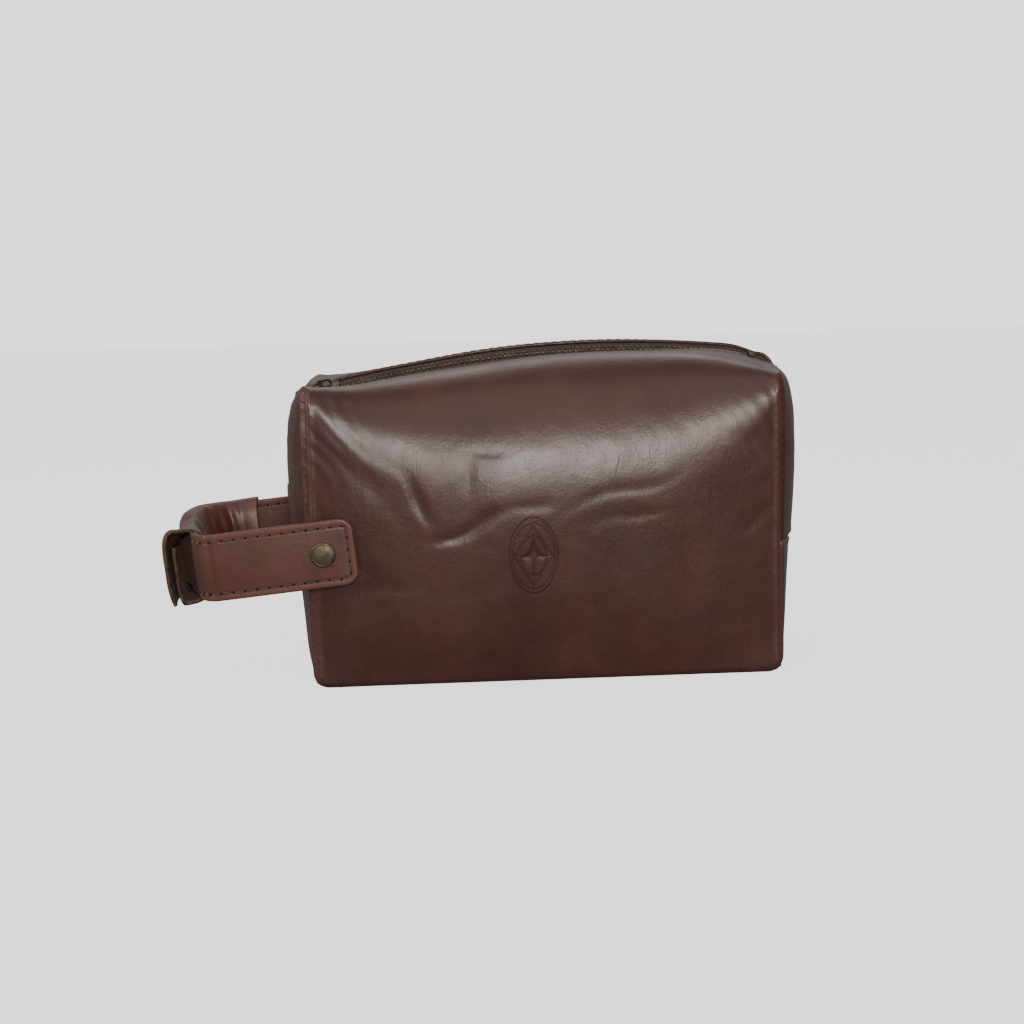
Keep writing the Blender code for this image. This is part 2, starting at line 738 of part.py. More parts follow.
def make_snap(frame, face_y, strap_y):
    """Cap and socket on the strap; stud and post on the front face."""
    strap_out = strap_y - STRAP_LAYER - GAP / 2
    strap_in = strap_y + STRAP_LAYER + GAP / 2
    reach = strap_in - strap_out + GAP
    cap = turned(
        "snap_cap",
        [
            (0, 1.7),
            (SNAP_RADIUS * 0.5, 1.6),
            (SNAP_RADIUS * 0.8, 1.3),
            (SNAP_RADIUS * 0.96, 0.8),
            (SNAP_RADIUS, 0.35),
            (SNAP_RADIUS * 0.97, 0),
            (1.6, 0),
            (1.6, -reach),
            (0, -reach),
        ],
        "antique_brass",
    )
    facing_out(cap, strap_out - GAP, -1, frame)
    socket = turned(
        "snap_socket",
        [(0, 0), (5.2, 0), (5.2, -1.4), (2.4, -1.4), (2.4, -0.5), (0, -0.5)],
        "antique_brass",
    )
    facing_out(socket, strap_in + GAP, -1, frame)
    stud = turned(
        "snap_stud",
        [(0, 1.6), (1.7, 1.6), (2.1, 1.2), (2.1, 0.9), (1.8, 0.7), (3.9, 0.7), (3.9, 0), (0, 0)],
        "antique_brass",
    )
    facing_out(stud, face_y - GAP, -1, None, HANDLE_X, HANDLE_Z)
    post = turned(
        "snap_post",
        [(0, 0), (1.4, 0), (1.4, -LEATHER - 0.2), (3.9, -LEATHER - 0.2), (3.9, -LEATHER - 0.9), (0, -LEATHER - 0.9)],
        "antique_brass",
    )
    facing_out(post, face_y + 0.05, -1, None, HANDLE_X, HANDLE_Z)


def make_rivet(face_y, strap_out):
    """The rivet that the rear end of the strap turns on."""
    reach = strap_out - face_y + LEATHER + 0.35
    cap = turned(
        "rivet_cap",
        [
            (0, 1.5),
            (SNAP_RADIUS * 0.5, 1.4),
            (SNAP_RADIUS * 0.75, 1.0),
            (SNAP_RADIUS * 0.83, 0.4),
            (SNAP_RADIUS * 0.8, 0),
            (1.5, 0),
            (1.5, -reach),
            (0, -reach),
        ],
        "antique_brass",
    )
    facing_out(cap, strap_out + GAP, 1, None, HANDLE_X, HANDLE_Z)
    burr = turned(
        "rivet_burr", [(0, 0), (3.6, 0), (3.6, -0.8), (0, -0.8)], "antique_brass"
    )
    facing_out(burr, face_y - LEATHER - 0.4, 1, None, HANDLE_X, HANDLE_Z)


def make_handle():
    frame = handle_frame()
    face_y = HALF_DEPTH + face_crown(HANDLE_X, HANDLE_Z)
    thick = STRAP_LAYER + GAP / 2
    front_y = -face_y - FRONT_STRAP_OFF - thick
    rear_y = face_y + REAR_STRAP_OFF + thick
    make_straps(frame, front_y, rear_y)
    make_sleeve(frame, front_y, rear_y)
    make_snap(frame, -face_y, front_y)
    make_rivet(face_y, rear_y + thick)
    hole = cylinder_mesh("face_hole", 1.8, -90, 90, 16)
    hole.transform(Matrix.Rotation(math.radians(90), 4, "X"))
    cutter = add_cutter("face_hole", hole)
    cutter.location = mm(HANDLE_X, 0, HANDLE_Z)
    for name in ("front_panel", "back_panel"):
        boolean(bpy.data.objects[name], cutter)


def main():
    make_face("front_panel", -1)
    make_face("back_panel", 1)
    make_base()
    make_flap("front_top_flap", -1)
    make_flap("back_top_flap", 1)
    for word, side in (("left", -1), ("right", 1)):
        make_end_upper(word + "_end_upper", side)
        make_end_lower(word + "_end_lower", side)
        make_zip_tab(word + "_zip_tab", side)
    make_lining()
    make_pocket()
    make_tape("zip_tape_front", -1)
    make_tape("zip_tape_back", 1)
    make_teeth("zip_teeth_front", -1)
    make_teeth("zip_teeth_back", 1)
    make_stop("zip_bottom_stop", 109.8, -CORD_OUTER, CORD_OUTER)
    make_slider()
    make_pull()
    make_handle()


clear_scene()
BAG = collection("shaving_kit_bag")
CUTTERS = collection("cutters")
main()
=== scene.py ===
"""The look of a leather shaving kit bag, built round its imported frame.

Frame: +X runs along the bag away from its handle, the front face looks along -Y, and +Z is up.
Points are worked out in millimetres, as numpy arrays, and become metres when a mesh is made.
A side is -1 for the front and 1 for the back, and an end is -1 for the left and 1 for the right.
"""

import json
import math

import bmesh
import bpy
import numpy as np
from mathutils import Matrix, Vector, noise


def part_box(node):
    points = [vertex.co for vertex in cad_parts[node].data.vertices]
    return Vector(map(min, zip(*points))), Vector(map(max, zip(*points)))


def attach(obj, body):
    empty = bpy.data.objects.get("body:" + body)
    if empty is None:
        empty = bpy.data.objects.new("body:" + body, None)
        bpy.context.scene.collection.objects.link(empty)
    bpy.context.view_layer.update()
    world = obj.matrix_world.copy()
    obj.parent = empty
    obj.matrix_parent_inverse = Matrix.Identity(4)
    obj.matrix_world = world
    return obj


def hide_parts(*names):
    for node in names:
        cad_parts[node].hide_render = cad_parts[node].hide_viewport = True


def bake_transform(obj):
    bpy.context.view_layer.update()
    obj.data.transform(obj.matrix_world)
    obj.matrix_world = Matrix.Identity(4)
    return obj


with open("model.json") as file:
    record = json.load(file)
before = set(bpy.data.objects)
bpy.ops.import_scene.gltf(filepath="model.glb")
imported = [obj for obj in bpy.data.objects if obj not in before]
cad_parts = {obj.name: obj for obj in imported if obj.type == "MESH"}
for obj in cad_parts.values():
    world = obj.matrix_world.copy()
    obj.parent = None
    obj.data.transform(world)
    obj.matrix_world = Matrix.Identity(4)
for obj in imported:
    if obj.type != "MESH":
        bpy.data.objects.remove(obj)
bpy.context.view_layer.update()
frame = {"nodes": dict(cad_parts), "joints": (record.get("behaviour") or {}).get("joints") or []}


# ---------------------------------------------------------------- sizes, from the frame


def box_mm(node):
    low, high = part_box(node)
    return np.array(low) * 1000.0, np.array(high) * 1000.0


def joint(name):
    return next(j for j in frame["joints"] if j["name"] == name)


def joint_mm(name):
    return np.array(joint(name)["pos_m"]) * 1000.0


FACE_CROWN = 4.0
HALF_LENGTH = box_mm("front_panel")[1][0]
HALF_DEPTH = -box_mm("front_panel")[0][1] - FACE_CROWN
BASE_RADIUS = 3.2
END_SEAM_Z = box_mm("left_end_upper")[0][2] - 0.15
LEATHER = 1.6
LINING = 0.7
LINING_OFF = 2.4  # lining below the leather's outer surface

ZIP_OPENING = -box_mm("front_top_flap")[1][1]
FLAP_LEFT, FLAP_RIGHT = box_mm("front_top_flap")[0][0], box_mm("front_top_flap")[1][0]
FOLD_Y = -joint_mm("front_flap_open")[1]
ZIP_RADIUS = 600.0
ZIP_X, ZIP_CENTRE_Z = joint_mm("zip_travel")[0], joint_mm("zip_travel")[2]
ZIP_TILT = math.acos(joint("pull_flip")["axis"][1])
LIP_LIFT = 2.65
TAPE, TAPE_DEPTH = 0.6, 2.5
TEETH_LEFT, TEETH_RIGHT = box_mm("zip_teeth_front")[0][0], box_mm("zip_teeth_front")[1][0]
TOOTH_PITCH = 2.75
CORD_INNER = 1.6

HANDLE = joint_mm("handle_swing")
DROOP = -math.asin(joint("strap_release")["axis"][0])
FRONT_STRAP_Y = joint_mm("strap_release")[1] + 1.7
REAR_STRAP_Y = box_mm("strap_rear_facing")[1][1] - 1.65
STRAP_HALF, STRAP_LAYER, STRAP_TIP = 16.0, 1.5, 15.5
STRAP_BEND = (-50.0, -38.0)  # the front of the strap turns between these when it is let go
BEND_RADIUS, BEND_START = 26.0, -50.0
STITCH_INSET, STITCH_PITCH = 3.5, 5.7
SNAP_RADIUS = 6.0

SIDE_WORD = {-1: "front", 1: "back"}
END_WORD = {-1: "left", 1: "right"}

# ---------------------------------------------------------------- small maths


def smooth(value, low, high):
    """0 below low, 1 above high, with soft ends."""
    t = np.clip((value - low) / (high - low), 0.0, 1.0)
    return t * t * (3.0 - 2.0 * t)


def bump(value, middle, width):
    return np.exp(-(((value - middle) / width) ** 2))


def unit(vectors):
    return vectors / np.maximum(np.linalg.norm(vectors, axis=-1, keepdims=True), 1e-9)


def noise_at(points, size, seed=0.0, octaves=1):
    """Perlin noise, about -1 to 1, for each point; size is its wavelength in millimetres."""
    found = np.zeros(len(points))
    for octave in range(octaves):
        scale = 2.0**octave / size
        shift = Vector((seed, seed * 1.7, -seed))
        found += [noise.noise(Vector(p) * scale + shift) / 2.0**octave for p in points]
    return found


# ---------------------------------------------------------------- meshes


def mesh_object(name, points, faces, material, attributes=None, smooth_angle=None):
    mesh = bpy.data.meshes.new(name)
    mesh.from_pydata((np.asarray(points) / 1000.0).tolist(), [], [list(map(int, f)) for f in faces])
    for key, values in (attributes or {}).items():
        layer = mesh.attributes.new(key, "FLOAT", "POINT")
        layer.data.foreach_set("value", np.asarray(values, np.float32))
    mesh.update()
    mesh.shade_smooth()
    if smooth_angle is not None:
        mesh.set_sharp_from_angle(angle=math.radians(smooth_angle))
    mesh.materials.append(material)
    obj = bpy.data.objects.new(name, mesh)
    bpy.context.scene.collection.objects.link(obj)
    return obj


def grid_faces(index, wrap=False):
    """Quads over a grid of vertex numbers; wrap joins its last column to its first."""
    if wrap:
        index = np.concatenate([index, index[:, :1]], axis=1)
    quads = np.stack([index[:-1, :-1], index[1:, :-1], index[1:, 1:], index[:-1, 1:]], axis=-1)
    return quads.reshape(-1, 4)


def numbered(grid):
    """A grid's points as one list, and the grid of their numbers."""
    points = grid.reshape(-1, 3)
    return points, np.arange(len(points)).reshape(grid.shape[:2])


def facing_out(points, quads):
    """The quads, all turned round if on the whole they face the middle of the bag."""
    corner = points[quads]
    normal = np.cross(corner[:, 2] - corner[:, 0], corner[:, 3] - corner[:, 1])
    middle = corner.mean(axis=1)
    outward = (normal * (middle - bag_middle(middle))).sum()
    return quads if outward > 0 else quads[:, ::-1]


def bag_middle(points):
    """For each point, a place in the middle of the bag that is nearly level with its x."""
    return points * np.array([0.5, 0.0, 0.0]) + np.array([0.0, 0.0, 70.0])


def normals_of(points, faces):
    mesh = bpy.data.meshes.new("normals")
    mesh.from_pydata(points.tolist(), [], [list(map(int, f)) for f in faces])
    found = np.zeros(len(points) * 3)
    mesh.vertices.foreach_get("normal", found)
    bpy.data.meshes.remove(mesh)
    return found.reshape(-1, 3)


def relax(points, faces, share, rounds):
    """Moves each point towards the middle of its neighbours, by its share."""
    faces = np.asarray(faces)
    ends = np.concatenate([faces[:, [i, (i + 1) % 4]] for i in range(4)])
    ends = np.unique(np.sort(ends, axis=1), axis=0)
    both = np.concatenate([ends, ends[:, ::-1]])
    count = np.bincount(both[:, 0], minlength=len(points))[:, None]
    for _ in range(rounds):
        total = np.stack(
            [np.bincount(both[:, 0], points[both[:, 1], k], len(points)) for k in range(3)], axis=1
        )
        points = points + (total / np.maximum(count, 1) - points) * share[:, None]
    return points


def apply_modifiers(obj):
    graph = bpy.context.evaluated_depsgraph_get()
    mesh = bpy.data.meshes.new_from_object(obj.evaluated_get(graph))
    obj.modifiers.clear()
    obj.data = mesh
    return obj


def thicken(obj, thickness, offset=-1.0, rim=None):
    """Solidify, with the rim in a material of its own."""
    modifier = obj.modifiers.new("thickness", "SOLIDIFY")
    modifier.thickness = thickness / 1000.0
    modifier.offset = offset
    modifier.use_even_offset = False
    if rim is not None:
        obj.data.materials.append(rim)
        modifier.material_offset_rim = 1
    return apply_modifiers(obj)


def follow(obj):
    """Bakes obj's transform into its mesh and drops its follow attribute; the weights are read, but nothing
    is blended between bodies.
    """
    weights = np.zeros(len(obj.data.vertices), np.float32)
    obj.data.attributes["follow"].data.foreach_get("value", weights)
    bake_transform(obj)
    obj.data.attributes.remove(obj.data.attributes["follow"])
    return obj


def follow_flap(obj):
    """Passes obj to follow; it is not blended between the bag and the flap on its side."""
    return follow(obj)


def follow_strap(obj):
    """Passes obj to follow; it is not blended between the handle and the free front of its strap."""
    return follow(obj)


def soften(obj, width):
    """Rounds the sharp edges of a metal piece; width is in millimetres."""
    bevel = obj.modifiers.new("soft_edges", "BEVEL")
    bevel.width = width / 1000.0
    bevel.segments = 3
    bevel.limit_method = "ANGLE"
    bevel.angle_limit = math.radians(40)


# ---------------------------------------------------------------- form of the bag

TOP_ROWS, FOLD_ROWS, FACE_ROWS, BASE_ROWS = 30, 42, 78, 8
SEAM_ROW = TOP_ROWS + FOLD_ROWS
UNDER_ROWS = 40
LIP_COLUMNS = 8  # the rows next to the zip that the tapes and stitches are laid along
FLAT_STEPS, TURN_STEPS = 80, 260  # steps in the curve that a column's top rows are taken from
FOLD_CORNER_Z = {-1: 147.0, 1: 148.0}
CORNER_ROLL = 9.0
MIDDLE_ROLL_Z = 84.0  # the middle of a face is upright up to here
END_CROWN = {-1: 12.6, 1: 13.6}


def zip_z(x):
    return ZIP_CENTRE_Z + np.sqrt(ZIP_RADIUS**2 - (x - ZIP_X) ** 2)


def zip_matrix(x):
    slope = math.asin((x - ZIP_X) / ZIP_RADIUS)
    turn = Matrix.Rotation(slope, 3, "Y") @ Matrix.Rotation(ZIP_TILT, 3, "X")
    return np.array(turn), np.array([x, 0.0, float(zip_z(x))])


def on_zip(x, y, z):
    """Points in the closed zip's own plane: x along it, y across and z above it."""
    slope = np.arcsin((x - ZIP_X) / ZIP_RADIUS)
    across = y * math.cos(ZIP_TILT) - z * math.sin(ZIP_TILT)
    up = y * math.sin(ZIP_TILT) + z * math.cos(ZIP_TILT)
    return np.stack([x + up * np.sin(slope), across, zip_z(x) + up * np.cos(slope)], axis=-1)


def lip_z(x, side):
    """The leather's edge along the zip; it rolls off towards the ends."""
    wave = -1.4 * bump(x, -38, 40) + 2.0 * bump(x, 88, 24) if side < 0 else -0.8 * bump(x, -60, 30)
    roll = 2.5 * smooth(np.abs(x), 99, HALF_LENGTH + 3)
    return zip_z(x) + side * math.tan(ZIP_TILT) * ZIP_OPENING + LIP_LIFT + wave - roll


def crest(x, side):
    """The top's height where it starts to roll into a face."""
    share = np.clip(np.abs(x) / HALF_LENGTH, 0, 1) ** 2.6
    return FOLD_CORNER_Z[side] * share + (lip_z(x, side) + 0.4) * (1 - share)


def roll_start(x):
    """Where a face stops being upright and starts to roll into the top."""
    share = np.clip(np.abs(x) / HALF_LENGTH, 0, 1) ** 3.2
    corner = FOLD_CORNER_Z[-1] - CORNER_ROLL
    return MIDDLE_ROLL_Z + (corner - MIDDLE_ROLL_Z) * share


def face_depth(x, z):
    """How far a face stands out below its roll."""
    rise = np.clip((z - BASE_RADIUS) / (roll_start(x) - BASE_RADIUS), 0, 1)
    along = np.clip(1 - (np.abs(x) / (HALF_LENGTH + 1)) ** 2.6, 0, 1)
    swell = FACE_CROWN * 1.1 * np.sin(math.pi / 2 * rise**0.9) * along
    corner = np.clip(np.abs(x) / HALF_LENGTH, 0, 1)
    return HALF_DEPTH + swell - 1.4 * corner**18 + 1.2 * corner**10 * (1 - smooth(z, 0, 26))


def roll_points(x, side):
    """One column from the lip to the upright face: even steps to the corner, then even steps past it."""
    fold_z, lip, high = roll_start(x), lip_z(x, side), crest(x, side)
    edge = face_depth(x, fold_z)
    square = np.clip(np.abs(x) / HALF_LENGTH, 0, 1) ** 2.6
    reach = (edge - ZIP_OPENING - 1.0) * (1 - square) + CORNER_ROLL * square
    start = edge - reach
    turn = np.linspace(0, math.pi / 2, TURN_STEPS)
    level = np.linspace(ZIP_OPENING, start, FLAT_STEPS, endpoint=False)
    y = np.concatenate([level, start + reach * np.sin(turn) ** 0.9])
    drop = np.concatenate([np.zeros(FLAT_STEPS), 1 - np.clip(np.cos(turn), 0, 1) ** 0.9])
    share = np.clip((y - ZIP_OPENING) / (edge - ZIP_OPENING), 0, 1)
    z = high - (high - fold_z) * drop + (lip - high) * (1 - share) ** 1.7
    run = np.concatenate([[0], np.cumsum(np.hypot(np.diff(y), np.diff(z)))])
    corner = run[FLAT_STEPS + TURN_STEPS // 2]
    above = np.linspace(0, corner, TOP_ROWS, endpoint=False)
    wanted = np.concatenate([above, np.linspace(corner, run[-1], FOLD_ROWS, endpoint=False)])
    return np.interp(wanted, run, y), np.interp(wanted, run, z)


def section(station, side):
    """The wrap's grid: each column runs from the lip over the roll and down the face to the base."""
    grid = []
    for x in station:
        y0, z0 = roll_points(x, side)
        z1 = np.linspace(roll_start(x), BASE_RADIUS, FACE_ROWS, endpoint=False)
        y1 = face_depth(x, z1)
        angle = np.linspace(0, math.pi / 2, BASE_ROWS + 1)
        low = face_depth(x, BASE_RADIUS)
        y2 = low - BASE_RADIUS + BASE_RADIUS * np.cos(angle)
        z2 = BASE_RADIUS - BASE_RADIUS * np.sin(angle)
        y, z = np.concatenate([y0, y1, y2]), np.concatenate([z0, z1, z2])
        grid.append(np.stack([np.full(len(y), x), side * y, z], axis=-1))
    return np.stack(grid, axis=1)


def columns():
    """Stations along the bag, closer together at the corner seams."""
    edge = np.array([0, 0.45, 0.9, 1.4, 2.0, 2.7, 3.5, 4.5])
    middle = np.linspace(-HALF_LENGTH + 5.6, HALF_LENGTH - 5.6, 170)
    return np.concatenate([-HALF_LENGTH + edge, middle, (HALF_LENGTH - edge)[::-1]])


def end_bulge(end, s, t):
    """How far an upper end stands out: t is 0 at its lower seam and 1 at the shoulder."""
    round_top = np.sqrt(np.clip(1 - t**13, 0, 1))
    return END_CROWN[end] * (1 - np.abs(s) ** 3.2) * round_top * (0.82 + 0.18 * np.sin(math.pi * t))


def half_end(wrap, index, end, side):
    """The half of an upper end that is one piece with a face, from the zip's slot to the corner seam."""
    column = 0 if end < 0 else wrap.shape[1] - 1
    rim = wrap[:, column]
    last = int(np.argmin(np.abs(rim[:, 2] - END_SEAM_Z) + 1e3 * (np.arange(len(rim)) < SEAM_ROW)))
    side_edge = rim[TOP_ROWS : last + 1]
    top_edge = rim[: TOP_ROWS + 1]
    across = np.linspace(0, 1, TOP_ROWS + 1)
    fall = (side_edge[:, 2] - side_edge[-1, 2]) / (side_edge[0, 2] - side_edge[-1, 2])
    y_slot = side * (ZIP_OPENING - 0.6 * (1 - fall))
    y = y_slot[:, None] + (side_edge[:, 1] - y_slot)[:, None] * across
    y[0] = top_edge[:, 1]
    lift = (top_edge[:, 2] - side_edge[0, 2])[None, :] * (fall**1.5)[:, None]
    z = side_edge[:, 2][:, None] + lift
    wide = np.abs(side_edge[:, 1])[:, None]
    x = end * (HALF_LENGTH + end_bulge(end, y / wide, np.broadcast_to(fall[:, None], y.shape)))
    patch = np.stack([x, y, z], axis=-1)
    known = np.full(y.shape, -1)
    known[0] = index[: TOP_ROWS + 1, column]
    known[:, -1] = index[TOP_ROWS : last + 1, column]
    patch[0], patch[:, -1] = top_edge, side_edge
    return patch, known


class Shell:
    """Grids of points that share the vertices along their common edges."""

    def __init__(self):
        self.points = np.zeros((0, 3))
        self.faces = np.zeros((0, 4), int)
        self.seam = np.zeros(0)

    def add(self, grid, seam, known=None):
        index = np.full(grid.shape[:2], -1) if known is None else known.copy()
        new = index < 0
        index[new] = len(self.points) + np.arange(new.sum())
        self.points = np.concatenate([self.points, grid[new]])
        self.seam = np.concatenate([self.seam, np.broadcast_to(seam, new.shape)[new]])
        quads = facing_out(self.points, grid_faces(index))
        self.faces = np.concatenate([self.faces, quads])
        return index


def seam_profile(distance):
    """Height of a turned seam: a tight valley between two soft ridges."""
    return -1.25 * np.exp(-((distance / 0.85) ** 2)) + 0.42 * bump(distance, 2.5, 1.2)


def crease(flat, start, end, width, depth):
    """A soft valley along a line on a face, in (x, z), steeper on its lower side."""
    a, b = np.array(start, float), np.array(end, float)
    along = b - a
    t = np.clip(((flat - a) @ along) / (along @ along), 0, 1)
    gap = flat - (a + t[:, None] * along)
    away = np.linalg.norm(gap, axis=1)
    fade = np.sin(math.pi * np.clip(0.06 + 0.88 * t, 0, 1)) ** 1.2
    above = np.where(gap[:, 1] > 0, 1.7, 1.0) * width
    return -depth * fade * np.exp(-((away / above) ** 2))


# The creases of each face: start and end (x, z), width and depth
FRONT_CREASES = [
    ((-67, 102), (-55, 79), 2.2, 0.75),
    ((-56, 71), (-20, 82), 2.4, 0.85),
    ((-20, 82), (4, 88), 2.2, 0.35),
    ((-34, 114), (-35, 90), 2.0, 0.32),
    ((-36, 116), (-18, 112), 1.8, 0.35),
    ((4, 84), (67, 101), 2.0, 0.34),
    ((20, 78), (58, 84), 2.4, 0.26),
    ((-106, 118), (-70, 84), 4.5, 0.40),
    ((-98, 128), (-60, 100), 5.0, 0.35),
    ((-110, 62), (-84, 56), 3.5, 0.30),
    ((-92, 46), (-60, 52), 3.5, 0.26),
    ((88, 120), (108, 104), 3.5, 0.40),
    ((92, 70), (108, 84), 3.0, 0.30),
]
BACK_CREASES = [
    ((-60, 82), (-20, 92), 2.6, 0.5),
    ((-16, 70), (18, 66), 2.4, 0.4),
    ((40, 110), (70, 84), 2.6, 0.45),
    ((84, 118), (104, 88), 2.6, 0.4),
    ((-104, 120), (-84, 92), 2.6, 0.4),
]


def folds_of(points, side):
    """Creases and soft dents of a face, as heights along its normals."""
    on_face = smooth(side * points[:, 1], 36, 50) * smooth(points[:, 2], 6, 16)
    height = np.zeros(len(points))
    wander = np.stack([noise_at(points, 26, seed=31.0), noise_at(points, 26, seed=37.0)], axis=1)
    flat = points[:, [0, 2]] + 4.5 * wander
    for start, end, width, depth in FRONT_CREASES if side < 0 else BACK_CREASES:
        height += crease(flat, start, end, width, depth)
    height += 0.75 * noise_at(points, 70, seed=3.0 + side)
    height += 0.30 * noise_at(points * np.array([1.0, 1.0, 0.6]), 27, seed=9.0 - side)
    height += 0.07 * noise_at(points, 8, seed=14.0)
    height -= 0.6 * bump(points[:, 0], -40, 13) * bump(points[:, 2], 86, 18)
    return height * on_face


def fine_wrinkles(points):
    """Thin stretch lines that run down from the folds and out of the corners."""
    x, y, z = points.T
    warp = 3.0 * noise_at(points, 30, seed=21.0)
    lines = np.sin((x * 0.9 + 0.55 * z + warp * 2.2) * 0.9)
    near_corner = bump(np.abs(x), HALF_LENGTH, 20.0) * smooth(z, 70, 120)
    ends = np.sin((y * 0.8 + warp * 1.6) * 1.05) * smooth(np.abs(x), HALF_LENGTH, HALF_LENGTH + 6)
    return 0.10 * lines * near_corner + 0.10 * ends * bump(z, 128, 22)


def mouth_share(x):
    """How far the zip's edge follows its flap at x: the mouth opens as a lens, closed at both ends."""
    middle, reach = (FLAP_LEFT + FLAP_RIGHT) / 2, (FLAP_RIGHT - FLAP_LEFT) / 2
    return np.clip(1 - ((x - middle) / reach) ** 2, 0, 1) ** 0.75


def flap_share(points, side):
    """How far each point of the leather follows its flap, less and less towards the fold."""
    before_fold = 1 - smooth(side * points[:, 1], FOLD_Y - 6, FOLD_Y + 4)
    return mouth_share(points[:, 0]) * before_fold * smooth(points[:, 2], 112, 128)


def round_feet(points):
    """Lifts the bottom's outer corners, so that the bag stands on a base with rounded ends."""
    reach = 7.0
    past = np.clip((np.abs(points[:, 0]) - HALF_LENGTH + reach) / reach, 0, 1)
    rise = 4.6 * (1 - np.sqrt(1 - np.clip(past, 0, 0.995) ** 2)) * (1 - smooth(points[:, 2], 0, 24))
    moved = points.copy()
    moved[:, 2] += rise
    return moved


def base_rows(wrap, to_y):
    """Rows that carry the front's leather on under the bag, to y."""
    last = wrap[-1]
    y = np.linspace(last[:, 1], to_y, UNDER_ROWS + 1, axis=0)[1:]
    sag = 0.9 * np.clip(1 - (y / 46) ** 2, 0, 1) * (1 - (last[:, 0] / (HALF_LENGTH + 1)) ** 2)
    return np.stack([np.broadcast_to(last[:, 0], y.shape), y, sag], axis=-1)


def body_shell(side):
    """The leather of one face with its half of the top and of both upper ends, welded into one shell."""
    shell = Shell()
    grid = section(columns(), side)
    if side < 0:
        grid = np.concatenate([grid, base_rows(grid, HALF_DEPTH - BASE_RADIUS + 0.2)], axis=0)
    x_gap = HALF_LENGTH - np.abs(grid[..., 0])
    rim = np.concatenate([[0], np.cumsum(np.linalg.norm(np.diff(grid[:, 0], axis=0), axis=1))])
    climb = np.maximum(rim[TOP_ROWS] - rim, 0)[:, None]
    seam = np.hypot(x_gap, climb)
    index = shell.add(grid, seam)
    lips = {0: index[:LIP_COLUMNS].T}
    for end in (-1, 1):
        patch, known = half_end(grid, index, end, side)
        side_gap = np.abs(patch[:, -1:, 1] - patch[..., 1]) + np.abs(patch[..., 0]) - HALF_LENGTH
        lower_gap = patch[..., 2] - patch[-1:, :, 2]
        patch_seam = np.minimum(side_gap, lower_gap)
        lips[end] = shell.add(patch, patch_seam, known=known)[1:, :LIP_COLUMNS]
    shell.lip = np.concatenate([lips[-1][::-1], lips[0], lips[1]])
    return shell


def shell_details(shell, side):
    """Rounds the shoulders, then raises seams, folds and wrinkles along the normals."""
    points = shell.points
    near_rim = bump(np.abs(points[:, 0]), HALF_LENGTH + 1, 7.0) * smooth(points[:, 2], 118, 134)
    shell.points = relax(points, shell.faces, 0.6 * np.clip(near_rim, 0, 1), 14)
    normals = normals_of(shell.points, shell.faces)
    points = shell.points
    pucker = 1 + 0.22 * np.sin(2 * math.pi * points[:, 2] / 4.4)
    height = seam_profile(shell.seam) * pucker * smooth(points[:, 2], 0.5, 6)
    height += folds_of(points, side) + fine_wrinkles(points)
    shell.points = points + normals * height[:, None]
    shell.points[:, 2] = np.maximum(shell.points[:, 2], 0.0)
    shell.points = round_feet(shell.points)
    return shell


def make_lining(shell, weights, side, materials):
    """The cloth inside one half of the bag: the leather's own form, set inwards."""
    near_rim = bump(np.abs(shell.points[:, 0]), HALF_LENGTH + 1, 9.0)
    inner = relax(shell.points, shell.faces, 0.7 * np.clip(near_rim, 0, 1), 16)
    normals = normals_of(inner, shell.faces)
    rumple = 0.5 * noise_at(inner, 22, seed=60.0) * smooth(shell.seam, 2, 10)
    inner = round_feet(inner - normals * (LINING_OFF + np.maximum(rumple, 0.0))[:, None])
    word = SIDE_WORD[side]
    obj = mesh_object("lining_" + word, inner, shell.faces, materials["lining"], {"follow": weights})
    thicken(obj, LINING)
    follow_flap(obj)
    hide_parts("lining")


def seam_wear(shell):
    """The leather is rubbed pale next to its seams."""
    return np.exp(-(((shell.seam - 1.5) / 2.2) ** 2))


def make_leather(side, materials):
    word = SIDE_WORD[side]
    shell = body_shell(side)
    weights = flap_share(shell.points, side)
    make_lining(shell, weights, side, materials)
    shell = shell_details(shell, side)
    shell.normals = normals_of(shell.points, shell.faces)
    shell.weights = weights
    attributes = {"follow": weights, "wear": seam_wear(shell)}
    obj = mesh_object("leather_" + word, shell.points, shell.faces, materials["leather"], attributes)
    thicken(obj, LEATHER, rim=materials["edge"])
    follow_flap(obj)
    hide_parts(word + "_panel", word + "_top_flap", *(["base_panel"] if side < 0 else []))
    if side > 0:
        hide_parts("left_end_upper", "right_end_upper")
    return shell


